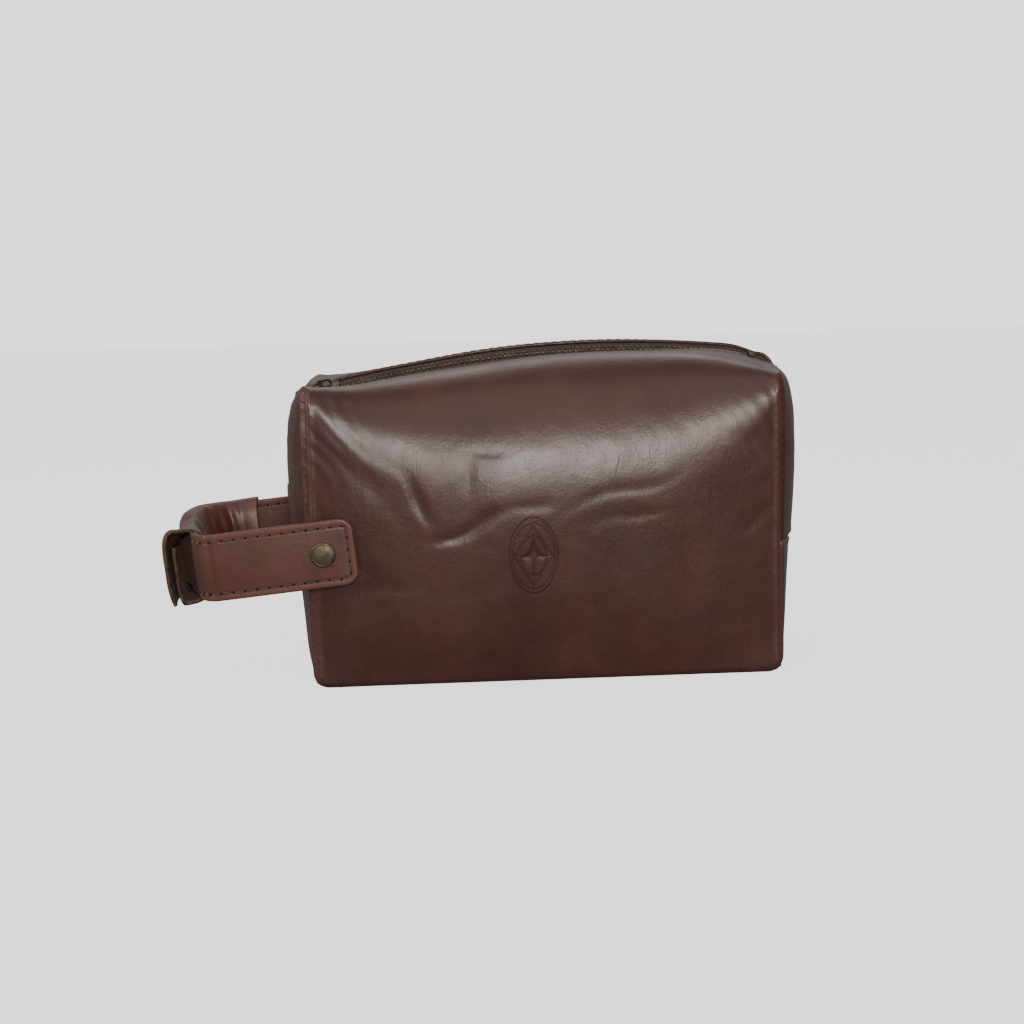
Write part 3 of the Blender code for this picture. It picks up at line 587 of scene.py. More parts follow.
def end_lower_shell(end):
    """The form of an end's lower panel, from the seam across it down to the base."""
    count, down = 60, 44
    s = np.linspace(-1, 1, count + 1)
    s = np.sign(s) * (1 - (1 - np.abs(s)) ** 1.25)
    t = np.sin(math.pi / 2 * np.linspace(0, 1, down + 1))
    z = (END_SEAM_Z - 0.2) * (1 - t) + 0.6 * t
    low = BASE_RADIUS
    corner = np.where(z < low, low - np.sqrt(np.clip(low**2 - (low - z) ** 2, 0, None)), 0)
    depth = face_depth(HALF_LENGTH, np.maximum(z, BASE_RADIUS)) - corner
    y = s[None, :] * depth[:, None]
    bulge = (1 - np.abs(s) ** 3.2)[None, :] * (0.74 - 0.34 * t)[:, None]
    bulge = bulge * np.sqrt(np.clip(1 - t**9, 0, 1))[:, None]
    x = end * (HALF_LENGTH + END_CROWN[end] * bulge)
    grid = np.stack([x, y, np.broadcast_to(z[:, None], x.shape)], axis=-1)
    side_gap = np.abs(np.abs(grid[:, -1:, 1]) - np.abs(y)) + np.abs(x) - HALF_LENGTH
    seam = np.minimum(side_gap, END_SEAM_Z - grid[..., 2])
    shell = Shell()
    shell.add(grid, seam)
    normals = normals_of(shell.points, shell.faces)
    height = seam_profile(shell.seam) * (1 + 0.2 * np.sin(shell.points[:, 1] * 1.3))
    height += 0.35 * noise_at(shell.points, 26, seed=40.0 + end) * smooth(shell.seam, 2, 8)
    shell.points += normals * height[:, None]
    shell.points[:, 2] = np.maximum(shell.points[:, 2], 0.1)
    shell.points = round_feet(shell.points)
    return shell


def make_end_lower(end, materials):
    """The lower panel of an end, with the lining behind it."""
    word = END_WORD[end]
    shell = end_lower_shell(end)
    inner = shell.points - normals_of(shell.points, shell.faces) * (LINING_OFF + 0.3)
    inner[:, 0] = end * np.minimum(np.abs(inner[:, 0]), np.abs(shell.points[:, 0]) - 2.2)
    inner[:, 1] = np.clip(inner[:, 1], -HALF_DEPTH + 3.5, HALF_DEPTH - 3.5)
    inner[:, 2] = np.maximum(inner[:, 2], 7.0)
    lining = mesh_object(word + "_end_lining", inner, shell.faces, materials["lining"])
    thicken(lining, LINING)
    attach(lining, "bag")
    name = word + "_lower_end_leather"
    wear = {"wear": seam_wear(shell)}
    obj = mesh_object(name, shell.points, shell.faces, materials["leather"], wear)
    thicken(obj, LEATHER, rim=materials["edge"])
    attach(obj, "bag")
    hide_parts(word + "_end_lower")


# ---------------------------------------------------------------- stitches


class Stitches:
    """Rows of thread, each stitch a small sunk loop between two near-black balls of painted shade that
    stand for the needle holes.
    """

    def __init__(self):
        self.points, self.faces, self.follow, self.dark = [], [], [], []

    def ball(self, middle, axes, sizes, dark, share, rings=5, around=8):
        """A stretched ball: axes are its three directions, sizes its half lengths; a dark one is painted
        shade at a needle hole.
        """
        start = len(self.points)
        rise = np.linspace(-1, 1, rings + 2)[1:-1] * 0.94
        turn = np.arange(around) * 2 * math.pi / around
        for r in rise:
            wide = math.sqrt(1 - (r * r if dark else abs(r) ** 4))
            for a in turn:
                local = np.array([r, wide * math.cos(a), wide * math.sin(a)]) * sizes
                self.points.append(middle + local @ axes)
        for tip in (-1, 1):
            self.points.append(middle + np.array([tip * sizes[0], 0, 0]) @ axes)
        low, high = len(self.points) - 2, len(self.points) - 1
        for ring in range(rings - 1):
            for k in range(around):
                a, b = start + ring * around + k, start + ring * around + (k + 1) % around
                self.faces.append((a, b, b + around, a + around))
        for k in range(around):
            self.faces.append((low, start + (k + 1) % around, start + k))
            top = start + (rings - 1) * around
            self.faces.append((high, top + k, top + (k + 1) % around))
        added = len(self.points) - start
        self.follow += [share] * added
        self.dark += [dark] * (around * (rings - 1) + 2 * around)

    def row(self, line, normals, pitch, length, radius, shares=None, hole=1.0):
        """Stitches along a line of points."""
        gaps = np.linalg.norm(np.diff(line, axis=0), axis=1)
        run = np.concatenate([[0], np.cumsum(gaps)])
        count = int((run[-1] - 0.5 * pitch) / pitch)
        shares = np.zeros(len(line)) if shares is None else shares
        for k in range(count):
            at = pitch * (k + 0.7)
            spot = np.array([np.interp(at, run, line[:, i]) for i in range(3)])
            ahead = np.array([np.interp(at + 0.4, run, line[:, i]) for i in range(3)])
            normal = np.array([np.interp(at, run, normals[:, i]) for i in range(3)])
            normal = normal / np.linalg.norm(normal)
            along = ahead - spot
            along = along - normal * (along @ normal)
            along = along / np.linalg.norm(along)
            across = np.cross(normal, along)
            slant = along * 0.992 + across * 0.12
            axes = np.array([slant, np.cross(normal, slant), normal])
            share = float(np.interp(at, run, shares))
            self.ball(spot, axes, (length / 2, radius, radius * 0.7), False, share)
            # The dark ball sunk at the stitch's end is painted shade where the needle hole is.
            mouth = spot + along * pitch / 2 - normal * (radius * 0.10)
            size = radius * hole
            self.ball(mouth, axes, (size * 1.5, size, radius * 0.5), True, share, 3, 8)

    def build(self, name, materials):
        attributes = {"follow": self.follow}
        obj = mesh_object(name, np.array(self.points), self.faces, materials["thread"], attributes)
        # Faces of the dark balls take the near-black painted shade of the needle holes.
        obj.data.materials.append(materials["hole"])
        obj.data.polygons.foreach_set("material_index", np.array(self.dark, np.int32))
        return obj


# ---------------------------------------------------------------- zip


def lip_stations(shell, column):
    """Points, normals and flap shares along the zip's edge of the leather, some columns in from it."""
    index = shell.lip[:, column]
    return shell.points[index], shell.normals[index], shell.weights[index]


def zip_centres(front, back):
    """The zip's middle line, station by station: on the zip's own arc along the top, then down each end."""
    front_line, front_normal, _ = lip_stations(front, 0)
    back_line, back_normal, _ = lip_stations(back, 0)
    middle = (front_line + back_line) / 2 - unit(front_normal + back_normal) * TAPE_DEPTH
    x = np.clip(front_line[:, 0], -HALF_LENGTH, HALF_LENGTH)
    arc = on_zip(x, 0 * x, 0 * x)
    on_top = (1 - smooth(np.abs(x), HALF_LENGTH - 8, HALF_LENGTH - 0.5))[:, None]
    return middle + (arc - middle) * on_top


def make_tape(front, back, side, materials):
    """One side of the zip's woven tape, with the corded edge that carries its teeth."""
    shell = front if side < 0 else back
    lip, normal, share = lip_stations(shell, 0)
    inside, inside_normal, _ = lip_stations(shell, LIP_COLUMNS - 1)
    centre = zip_centres(front, back)
    across = unit(lip - centre - normal * np.sum((lip - centre) * normal, axis=1)[:, None])
    under = lip - normal * (LEATHER + 0.45)
    rows = [inside - inside_normal * (LEATHER + 0.45), under]
    gap = CORD_INNER - (CORD_INNER - 0.1) * smooth(np.abs(lip[:, 0]), HALF_LENGTH - 4, HALF_LENGTH + 3)
    for reach in (0.75, 0.5, 0.25, 0.0):
        inner = centre + across * gap[:, None]
        rows.append(inner + (under - inner) * reach)
    points, index = numbered(np.stack(rows, axis=1))
    faces = facing_out(points, grid_faces(index))
    word = SIDE_WORD[side]
    weights = np.repeat(share, len(rows))
    obj = mesh_object("zip_tape_weave_" + word, points, faces, materials["tape"], {"follow": weights})
    thicken(obj, TAPE, offset=0.0)
    follow_flap(obj)
    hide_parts("zip_tape_" + word)


def tooth_template():
    """One metal tooth, across +Y: a clamp on the cord, a neck, and a rounded head with a dimple."""
    bm = bmesh.new()
    bmesh.ops.create_grid(bm, x_segments=2, y_segments=6, size=0.5)
    stations = [(-1.25, 0.34, 0.62), (-0.75, 0.58, 1.0), (0.0, 0.60, 1.02), (0.8, 0.42, 0.9)]
    stations += [(1.5, 0.56, 1.25), (2.5, 0.64, 1.45), (3.1, 0.56, 1.3)]
    for vert in bm.verts:
        row = round((vert.co.y + 0.5) * 6)
        column = round((vert.co.x + 0.5) * 2) - 1
        y, half_x, half_z = stations[row]
        dimple = 0.25 if column == 0 and row == 1 else 0.0
        vert.co = Vector((column * half_x, y, half_z - dimple))
    bmesh.ops.recalc_face_normals(bm, faces=bm.faces)
    upper = set(bm.verts)
    lower = bmesh.ops.duplicate(bm, geom=list(bm.faces))["vert_map"]
    for vert, other in lower.items():
        if isinstance(vert, bmesh.types.BMVert) and vert in upper:
            other.co.z = -vert.co.z
    rim = [edge for edge in bm.edges if edge.is_boundary]
    bmesh.ops.bridge_loops(bm, edges=rim)
    bmesh.ops.recalc_face_normals(bm, faces=bm.faces)
    sharp = [edge for edge in bm.edges if edge.calc_face_angle(0) > 0.9]
    bmesh.ops.bevel(bm, geom=sharp, offset=0.12, segments=2, affect="EDGES")
    bm.verts.index_update()
    points = np.array([vert.co[:] for vert in bm.verts])
    faces = [[vert.index for vert in face.verts] for face in bm.faces]
    bm.free()
    return points, faces


def make_teeth(side, materials):
    """A row of teeth that stand in the gaps between the other row's."""
    template, template_faces = tooth_template()
    count = int((TEETH_RIGHT - TEETH_LEFT) / TOOTH_PITCH)
    first = TEETH_LEFT + (0.3 if side < 0 else 0.8) * TOOTH_PITCH
    points, faces, shares = [], [], []
    for k in range(count):
        turn, place = zip_matrix(first + TOOTH_PITCH * k)
        local = template * np.array([1.0, side, 1.0])
        start = len(points) * len(template)
        points.append(local @ turn.T + place)
        faces += [[start + v for v in (face if side > 0 else face[::-1])] for face in template_faces]
        shares.append(np.full(len(template), mouth_share(place[0])))
    word = SIDE_WORD[side]
    attributes = {"follow": np.concatenate(shares)}
    every = np.concatenate(points)
    obj = mesh_object("zip_teeth_row_" + word, every, faces, materials["brass"], attributes, 40)
    follow_flap(obj)
    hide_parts("zip_teeth_" + word)


def make_zip_stitches(front, back, materials):
    for side, shell in ((-1, front), (1, back)):
        line, normals, shares = lip_stations(shell, 3)
        keep = line[:, 2] > END_SEAM_Z + 2
        stitches = Stitches()
        stitches.row(line[keep], normals[keep], 4.7, 3.7, 0.42, shares[keep])
        obj = stitches.build("zip_edge_stitches_" + SIDE_WORD[side], materials)
        follow_flap(obj)


def end_point(end, y, z, lift):
    """A point over an upper end."""
    t = (z - END_SEAM_Z) / (FOLD_CORNER_Z[-1] - 3 - END_SEAM_Z)
    x = end * (HALF_LENGTH + end_bulge(end, y / HALF_DEPTH, np.clip(t, 0, 0.98)) + lift)
    return np.stack([x, y, z], axis=-1)


TAB_HALF, TAB_HEIGHT = 14.0, 29.0


def make_tab(end, materials):
    """The stitched leather tab over the end of the zip."""
    across, up = 30, 26
    s, t = np.meshgrid(np.linspace(-1, 1, across + 1), np.linspace(0, 1, up + 1))
    half = TAB_HALF - 4.5 * (np.clip(t - 0.72, 0, 1) / 0.28) ** 2
    y, z = s * half, END_SEAM_Z + 0.8 + TAB_HEIGHT * t
    edge = np.minimum(np.minimum((1 - np.abs(s)) * TAB_HALF, (1 - t) * TAB_HEIGHT), 3.0)
    stitched = bump(edge, 2.4, 0.7)
    grid = end_point(end, y, z, 0.5 + 0.9 * np.sqrt(np.clip(edge, 0, 1)) - 0.3 * stitched)
    points, index = numbered(grid)
    faces = facing_out(points, grid_faces(index))
    word = END_WORD[end]
    wear = bump(edge, 0.0, 0.8).ravel()
    obj = mesh_object(word + "_tab_leather", points, faces, materials["strap"], {"wear": wear})
    thicken(obj, 1.3, rim=materials["edge"])
    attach(obj, "bag")
    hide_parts(word + "_zip_tab")
    turn = np.linspace(0, math.pi, 12)
    wide = [8.0 * math.cos(a) + 2.6 * np.sign(math.cos(a)) for a in turn]
    top = [(y, 86.5 + 5.5 * math.sin(a)) for y, a in zip(wide, turn)]
    outline = [(11.6, z) for z in (68.5, 75, 81)] + top + [(-11.6, z) for z in (81, 75, 68.5)]
    outline = np.array(outline)
    line = end_point(end, outline[:, 0], outline[:, 1], 1.2)
    normals = unit(line - np.array([end * 60.0, 0.0, 78.0]) * np.array([1, 0, 1]))
    stitches = Stitches()
    stitches.row(line, normals, 4.7, 3.6, 0.42)
    sewn = stitches.build(word + "_tab_stitches", materials)
    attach(sewn, "bag")


# ---------------------------------------------------------------- handle


def from_handle(points):
    """Points of the handle's own frame, whose -X runs along the strap, in the bag's frame."""
    turn = np.array(Matrix.Rotation(DROOP, 3, "Y"))
    return points @ turn.T + HANDLE


def strap_plan(tuck=0.5, settle=(-42.0, -6.0)):
    """The strap's loop seen from above: points, outward directions and lengths from its front tip.

    Its front bend is squeezed by tuck, and it is back on the plain loop past settle, in y.
    """
    turn = np.linspace(0, math.pi / 2, 34, endpoint=False)
    front_end, rear_end = FRONT_STRAP_Y + BEND_RADIUS, REAR_STRAP_Y - BEND_RADIUS
    path = [(x, FRONT_STRAP_Y) for x in np.linspace(STRAP_TIP, BEND_START, 90, endpoint=False)]
    for a in turn:
        path.append((BEND_START - BEND_RADIUS * math.sin(a), front_end - BEND_RADIUS * math.cos(a)))
    for y in np.linspace(front_end, rear_end, 40, endpoint=False):
        path.append((BEND_START - BEND_RADIUS, y))
    for a in turn:
        path.append((BEND_START - BEND_RADIUS * math.cos(a), rear_end + BEND_RADIUS * math.sin(a)))
    path += [(x, REAR_STRAP_Y) for x in np.linspace(BEND_START, STRAP_TIP, 90)]
    path = np.array(path)
    squeeze = tuck + (1 - tuck) * smooth(path[:, 1], *settle)
    past = np.minimum(path[:, 0] - BEND_START, 0)
    path[:, 0] += past * (squeeze - 1)
    tangent = unit(np.gradient(path, axis=0))
    outward = np.stack([-tangent[:, 1], tangent[:, 0]], axis=1)
    run = np.concatenate([[0], np.cumsum(np.linalg.norm(np.diff(path, axis=0), axis=1))])
    return path, outward, run


SLEEVE_FROM, SLEEVE_REAR = 58.0, 7.0  # degrees round the front bend; run-on past the rear one
SLEEVE_TUCK = (0.84, (-30.0, 45.0))
GRIP_FROM = STRAP_TIP - BEND_START + BEND_RADIUS * math.radians(SLEEVE_FROM)
GRIP_TO = strap_plan(*SLEEVE_TUCK)[2][-1] - (STRAP_TIP - BEND_START) + SLEEVE_REAR


def strap_share(local):
    """How far a point of the strap follows its free front part."""
    return smooth(local[..., 0], *STRAP_BEND) * (local[..., 1] < 0)


def along_plan(stations, plan):
    """Places and outward directions at some lengths along a strap plan."""
    path, outward, run = plan
    x, y = (np.interp(stations, run, path[:, k]) for k in range(2))
    out = unit(np.stack([np.interp(stations, run, outward[:, k]) for k in range(2)], axis=1))
    return x, y, out


def make_strap_layer(layer, sign, materials):
    """One layer of the strap, round the whole loop: a closed strip with rounded edges and tips."""
    plan = strap_plan()
    run = plan[2]
    inset = np.array([0, 0.12, 0.3, 0.55, 0.9, 1.5, 2.4, 3.2, 3.7, 4.2, 4.7, 5.3, 6.6, 8.5, 11, 13.5])
    v = np.concatenate([-STRAP_HALF + inset, [0.0], (STRAP_HALF - inset)[::-1]]) / STRAP_HALF
    tips = np.array([0, 0.12, 0.3, 0.55, 0.9, 1.4, 2.0, 2.7, 3.4, 4.2, 5.2, 6.3, 7.4])
    between = run[(run > 8.2) & (run < run[-1] - 8.2)]
    stations = np.concatenate([tips, between, (run[-1] - tips)[::-1]])
    tip_gap = np.minimum(stations, run[-1] - stations)
    corner = 7.0
    short = np.clip(corner - tip_gap, 0, corner)
    hidden = smooth(stations, GRIP_FROM + 6, GRIP_FROM + 16)
    hidden = hidden * (1 - smooth(stations, GRIP_TO - 16, GRIP_TO - 6))
    half = STRAP_HALF - (corner - np.sqrt(corner**2 - short**2)) - 4.5 * hidden
    x, y, out = along_plan(stations, plan)
    across = v[None, :] * half[:, None]
    edge_gap = np.minimum(half[:, None] - np.abs(across), tip_gap[:, None])
    rim = np.clip(edge_gap / 0.75, 0, 1)
    body = np.sqrt(np.clip(1 - (1 - rim) ** 2, 0, 1)) * STRAP_LAYER / 2
    groove = 0.20 * bump(edge_gap, STITCH_INSET, 0.55)
    crowned = 0.22 * smooth(edge_gap, STITCH_INSET, 13)
    wave = (0.45 * np.sin(stations / 17.0) * smooth(stations, 12, 40))[:, None]
    shells = []
    for face in (1, -1):
        off = sign * 0.86 + face * body
        if face == sign:
            off = off - face * groove + face * crowned
        off = off + 0.35 * wave
        place = x[:, None] + out[:, :1] * off, y[:, None] + out[:, 1:] * off
        shells.append(np.stack([*place, across], axis=-1))
    outer, inner = shells
    local, index = numbered(np.concatenate([outer, inner[:, ::-1][:, 1:-1]], axis=1))
    faces = [list(quad) for quad in grid_faces(index, wrap=True)]
    count = len(v)
    for end_row in (index[0], index[-1]):
        for k in range(1, count - 1):
            a, b, c, d = end_row[k], end_row[k + 1], end_row[-k - 1], end_row[-k]
            faces.append([a, b, c, d] if k < count - 2 else [a, b, d])
        faces.append([end_row[0], end_row[1], end_row[-1]])
    ring_gap = np.concatenate([edge_gap, edge_gap[:, ::-1][:, 1:-1]], axis=1)
    attributes = {"follow": strap_share(local), "wear": (bump(ring_gap, 1.6, 1.2) * 0.8).ravel()}
    name = "strap_loop_" + layer
    obj = mesh_object(name, from_handle(local), tidy_faces(faces), materials["strap"], attributes)
    recalculate(obj)
    follow_strap(obj)
    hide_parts("strap_front_" + layer, "strap_rear_" + layer)


def tidy_faces(faces):
    """Faces without repeated corners."""
    kept = []
    for face in faces:
        corners = list(dict.fromkeys(int(v) for v in face))
        if len(corners) > 2:
            kept.append(corners)
    return kept


def recalculate(obj):
    """Joins points that lie together and turns all faces outwards."""
    bm = bmesh.new()
    bm.from_mesh(obj.data)
    bmesh.ops.remove_doubles(bm, verts=bm.verts, dist=1e-7)
    bmesh.ops.recalc_face_normals(bm, faces=bm.faces)
    bm.to_mesh(obj.data)
    bm.free()


def make_strap_stitches(materials):
    """Stitches round the strap's visible ends, on its outer and inner sides."""
    plan = strap_plan()
    length = plan[2][-1]
    z = STRAP_HALF - STITCH_INSET
    corner = 3.2
    turn = np.linspace(0, math.pi / 2, 6)
    start = STITCH_INSET + corner
    outline = [(a, z) for a in np.linspace(84, start + 1, 60)]
    outline += [(start - corner * math.sin(a), z - corner + corner * math.cos(a)) for a in turn]
    outline = np.array(outline + [(a, -height) for a, height in outline[::-1]])
    turn_matrix = np.array(Matrix.Rotation(DROOP, 3, "Y"))
    for word, flip in (("front", False), ("rear", True)):
        along = length - outline[:, 0] if flip else outline[:, 0]
        x, y, out = along_plan(along, plan)
        wave = 0.16 * np.sin(along / 17.0) * smooth(outline[:, 0], 12, 40)
        stitches = Stitches()
        for face in (1, -1):
            off = face * (0.86 + STRAP_LAYER / 2 - 0.1) + wave
            line = np.stack([x + out[:, 0] * off, y + out[:, 1] * off, outline[:, 1]], axis=1)
            normals = np.stack([face * out[:, 0], face * out[:, 1], 0 * x], axis=1) @ turn_matrix.T
            stitches.row(from_handle(line), normals, STITCH_PITCH, 4.4, 0.5, strap_share(line), hole=1.25)
        obj = stitches.build("strap_stitches_" + word, materials)
        if flip:
            obj.data.attributes.remove(obj.data.attributes["follow"])
            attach(obj, "handle")
        else:
            follow_strap(obj)


SLEEVE_TURNS = 1.21
SLEEVE_LAYER = 2.1


def make_sleeve(materials):
    """The grip: one piece of leather rolled round the strap, its outer end lapped over its inner one."""
    count, around = 120, 110
    u = np.linspace(0, 1, count)
    stations = GRIP_FROM + (GRIP_TO - GRIP_FROM) * u
    x, y, out = along_plan(stations, strap_plan(*SLEEVE_TUCK))
    phi = 2 * math.pi * SLEEVE_TURNS * np.linspace(0, 1, around)
    start = math.radians(28)
    angle = start - phi
    layer = SLEEVE_LAYER * smooth(phi, 2 * math.pi * 0.82, 2 * math.pi * 1.0) * 1.25
    layer = layer[None, :] * (1 + 0.7 * (1 - smooth(u, 0.0, 0.3)))[:, None]
    cos, sin = np.cos(angle), np.sin(angle)
    flat_cos = np.sign(cos) * np.abs(cos) ** 0.72
    flat_sin = np.sign(sin) * np.abs(sin) ** 0.80
    mouth = (1 - smooth(u, 0.0, 0.34))[:, None]
    outer = 4.2 - 0.6 * mouth
    inner = 8.0 + 8.0 * mouth
    wide = np.where(cos[None, :] > 0, outer, inner)
    tall = 18.6 + 0.2 * mouth - 1.0 * smooth(u, 0.6, 1)[:, None]
    off = flat_cos[None, :] * (wide + layer)
    up = flat_sin[None, :] * (tall + layer)
    bend = smooth(u, 0.55, 0.68)[:, None] * (1 - smooth(u, 0.86, 0.99))[:, None]
    length = stations[:, None]
    ripple = 0.4 * np.sin(length * 0.66 + 1.9 * sin[None, :]) * bend
    ripple = ripple * (1 - smooth(cos, -0.2, 0.4))[None, :]
    ripple = ripple + 0.35 * np.sin(length * 0.31 + 2.0 * sin[None, :])
    lean = smooth(u, 0.02, 0.12) * (1 - smooth(u, 0.30, 0.72))
    off = off + np.tanh(cos * 4)[None, :] * ripple
    cut = smooth(up, 4, 20) * smooth(off, -9, 4) * lean[:, None]
    off, up = off - 3.2 * cut, up - 4.2 * cut
    up = up + 0.35 * np.sin(length * 0.24 + 1.0)
    grid = np.stack([x[:, None] + out[:, :1] * off, y[:, None] + out[:, 1:] * off, up], axis=-1)
    local, index = numbered(grid)
    faces = grid_faces(index)
    corner = local[faces]
    normal = np.cross(corner[:, 2] - corner[:, 0], corner[:, 3] - corner[:, 1])
    centre = np.stack([np.repeat(x, around), np.repeat(y, around), np.zeros(count * around)], axis=1)
    away = (corner.mean(axis=1) - centre[faces].mean(axis=1)) * normal
    if away.sum() < 0:
        faces = faces[:, ::-1]
    noise_height = 0.35 * noise_at(local, 15, seed=77.0) + 0.12 * noise_at(local, 5, seed=80.0)
    local = local + normals_of(local, faces) * noise_height[:, None]
    edge_gap = np.minimum(u * 60, (1 - u) * 60)[:, None]
    lap_gap = np.minimum(phi, phi[-1] - phi)[None, :] * 15
    wear = bump(np.minimum(edge_gap, lap_gap), 0.0, 1.6).ravel()
    obj = mesh_object("grip_roll", from_handle(local), faces, materials["strap"], {"wear": wear})
    thicken(obj, 1.9, rim=materials["edge"])
    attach(obj, "handle")
    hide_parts("grip_sleeve")


# ---------------------------------------------------------------- metal


def turned(name, profile, place, side, body, replaced, materials, on_handle=False):
    """A turned metal piece whose profile is (radius, height), with its height towards its side.

    Its place is measured from the snap's centre, along the handle's own axes when it is on the handle.
    """
    profile = np.array(profile, float)
    segments = 72
    angle = np.arange(segments) * 2 * math.pi / segments
    radius = np.maximum(profile[:, 0], 0.004)
    height = side * np.broadcast_to(profile[:, 1:], (len(profile), segments))
    ring = np.stack([radius[:, None] * np.cos(angle), height, radius[:, None] * np.sin(angle)], axis=-1)
    points, index = numbered(ring)
    faces = [list(quad) for quad in grid_faces(index, wrap=True)]
    faces += [list(index[0]), list(index[-1][::-1])]
    points = points + np.array(place)
    points = from_handle(points) if on_handle else points + HANDLE * np.array([1, 0, 1])
    obj = mesh_object(name, points, faces, materials["brass"])
    recalculate(obj)
    obj.data.set_sharp_from_angle(angle=math.radians(50))
    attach(obj, body)
    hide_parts(replaced)
    return obj


def dome(radius, height, rim):
    """A shallow dome's profile, with a stepped rim."""
    shape = []
    for share in np.linspace(0, 0.80, 10):
        shape.append((radius * share, height - 0.28 * height * share**2))
    steps = [(0.825, 0.66), (0.85, 0.70), (0.93, 0.66), (0.985, 0.45), (1.0, 0.25)]
    shape += [(radius * wide, height * tall) for wide, tall in steps]
    return shape + [(radius * 0.99, 0.06), (radius * 0.95, 0.0), (rim, 0.0)]


PULL_SHARE = 0.68  # the pull seen here is this much of the solid one's length


def make_pull(materials):
    """The zip's pull: the solid one's form, shorter, with its edges rounded."""
    node = frame["nodes"]["zip_pull"]
    pivot = joint_mm("pull_flip")
    points = np.array([(node.matrix_world @ vert.co)[:] for vert in node.data.vertices]) * 1000.0
    along = unit(points.mean(axis=0) - pivot)
    reach = np.maximum((points - pivot) @ along - 2.0, 0)
    points = points - along * (reach * (1 - PULL_SHARE))[:, None]
    faces = [list(face.vertices) for face in node.data.polygons]
    obj = mesh_object("zip_pull_plate", points, faces, materials["brass"], smooth_angle=35)
    recalculate(obj)
    soften(obj, 0.35)
    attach(obj, "pull")
    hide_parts("zip_pull")


def make_hardware(materials):
    """The snap, the rear rivet and the zip's metal parts."""
    strap_out = FRONT_STRAP_Y - STRAP_LAYER - 0.15
    strap_in = FRONT_STRAP_Y + STRAP_LAYER + 0.15
    reach = strap_in - strap_out + 0.3
    cap = dome(SNAP_RADIUS, 1.7, 1.6) + [(1.6, -reach), (0, -reach)]
    place = (0, strap_out - 0.1, 0)
    turned("snap_cap_dome", cap, place, -1, "strap_front", "snap_cap", materials, on_handle=True)
    socket = [(0, 0), (4.9, 0), (5.2, -0.15), (5.2, -0.9), (4.8, -1.3), (3.4, -1.4), (2.6, -1.4)]
    socket += [(2.4, -1.2), (2.4, -0.5), (0, -0.5)]
    place = (0, strap_in + 0.25, 0)
    turned("snap_socket_ring", socket, place, -1, "strap_front", "snap_socket", materials, on_handle=True)
    stud = [(0, 1.6), (1.3, 1.58), (1.75, 1.5), (2.1, 1.2), (2.1, 0.95), (1.8, 0.7), (3.3, 0.66)]
    stud += [(3.85, 0.4), (3.9, 0.05), (0, 0)]
    turned("snap_stud_post", stud, (0, -HALF_DEPTH - 0.3, 0), -1, "bag", "snap_stud", materials)
    post = [(0, 0), (1.4, 0), (1.4, -LEATHER - 0.25), (3.7, -LEATHER - 0.25), (3.9, -LEATHER - 0.5)]
    post += [(3.7, -LEATHER - 0.9), (0, -LEATHER - 0.9)]
    turned("snap_inner_post", post, (0, -HALF_DEPTH - 0.05, 0), -1, "bag", "snap_post", materials)
    rear_out = REAR_STRAP_Y + STRAP_LAYER + 0.15
    rivet = dome(5.0, 1.5, 1.5) + [(1.5, -4.6), (0, -4.6)]
    turned("rivet_dome", rivet, (0, rear_out + 0.15, 0), 1, "bag", "rivet_cap", materials)
    burr = [(0, 0), (3.5, 0), (3.6, -0.1), (3.6, -0.6), (3.2, -0.8), (0, -0.8)]
    place = (0, HALF_DEPTH - LEATHER - 0.4, 0)
    turned("rivet_inner_burr", burr, place, 1, "bag", "rivet_burr", materials)
    make_pull(materials)
    for name, width in (("slider_body", 0.35), ("zip_bottom_stop", 0.15)):
        node = frame["nodes"][name]
        node.data.materials.clear()
        node.data.materials.append(materials["brass"])
        soften(node, width)


def skin_depth(x, z):
    """How far the back stands out at (x, z), its roll included."""
    start, high = roll_start(x), crest(x, 1)
    fall = np.clip((z - start) / (high - start), 0, 0.999)
    inwards = 1 - (1 - fall ** (1 / 0.45)) ** 0.45
    return face_depth(x, z) - inwards * (HALF_DEPTH - ZIP_OPENING)


POCKET_HALF, POCKET_LOW, POCKET_HIGH = 70, 22, 97


def make_pocket(materials):
    """A cloth pocket sewn to the back of the lining, open along its hemmed top."""
    heights = np.linspace(POCKET_LOW, POCKET_HIGH, 50)
    x, z = np.meshgrid(np.linspace(-POCKET_HALF, POCKET_HALF, 90), heights)
    edge = np.minimum(np.minimum(POCKET_HALF - np.abs(x), z - POCKET_LOW), POCKET_HIGH - z)
    loose = 2.2 * bump(x, 8, 46) * smooth(z, 50, POCKET_HIGH)
    hem = 0.45 * smooth(z, POCKET_HIGH - 6.5, POCKET_HIGH - 5.5)
    y = skin_depth(x, z) - LINING_OFF - LINING - 0.9 - loose - hem
    points, index = numbered(np.stack([x, y, z], axis=-1))
    points[:, 1] -= 0.3 * np.abs(noise_at(points, 14, seed=50.0)) * smooth(edge.ravel(), 1, 6)
    obj = mesh_object("slip_pocket_cloth", points, grid_faces(index), materials["lining"])
    thicken(obj, 0.6, offset=0.0)
    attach(obj, "bag")
    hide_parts("slip_pocket")
    outline = [(-68, z) for z in np.linspace(88, 24, 16)]
    outline += [(x, 24) for x in np.linspace(-66, 66, 24)]
    outline = np.array(outline + [(68, z) for z in np.linspace(24, 88, 16)])
    y = skin_depth(outline[:, 0], outline[:, 1]) - LINING_OFF - LINING - 1.25
    line = np.stack([outline[:, 0], y, outline[:, 1]], axis=1)
    stitches = Stitches()
    stitches.row(line, np.tile([0.0, -1.0, 0.0], (len(line), 1)), 3.4, 2.6, 0.28)
    sewn = stitches.build("slip_pocket_stitches", materials)
    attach(sewn, "bag")


# ---------------------------------------------------------------- materials


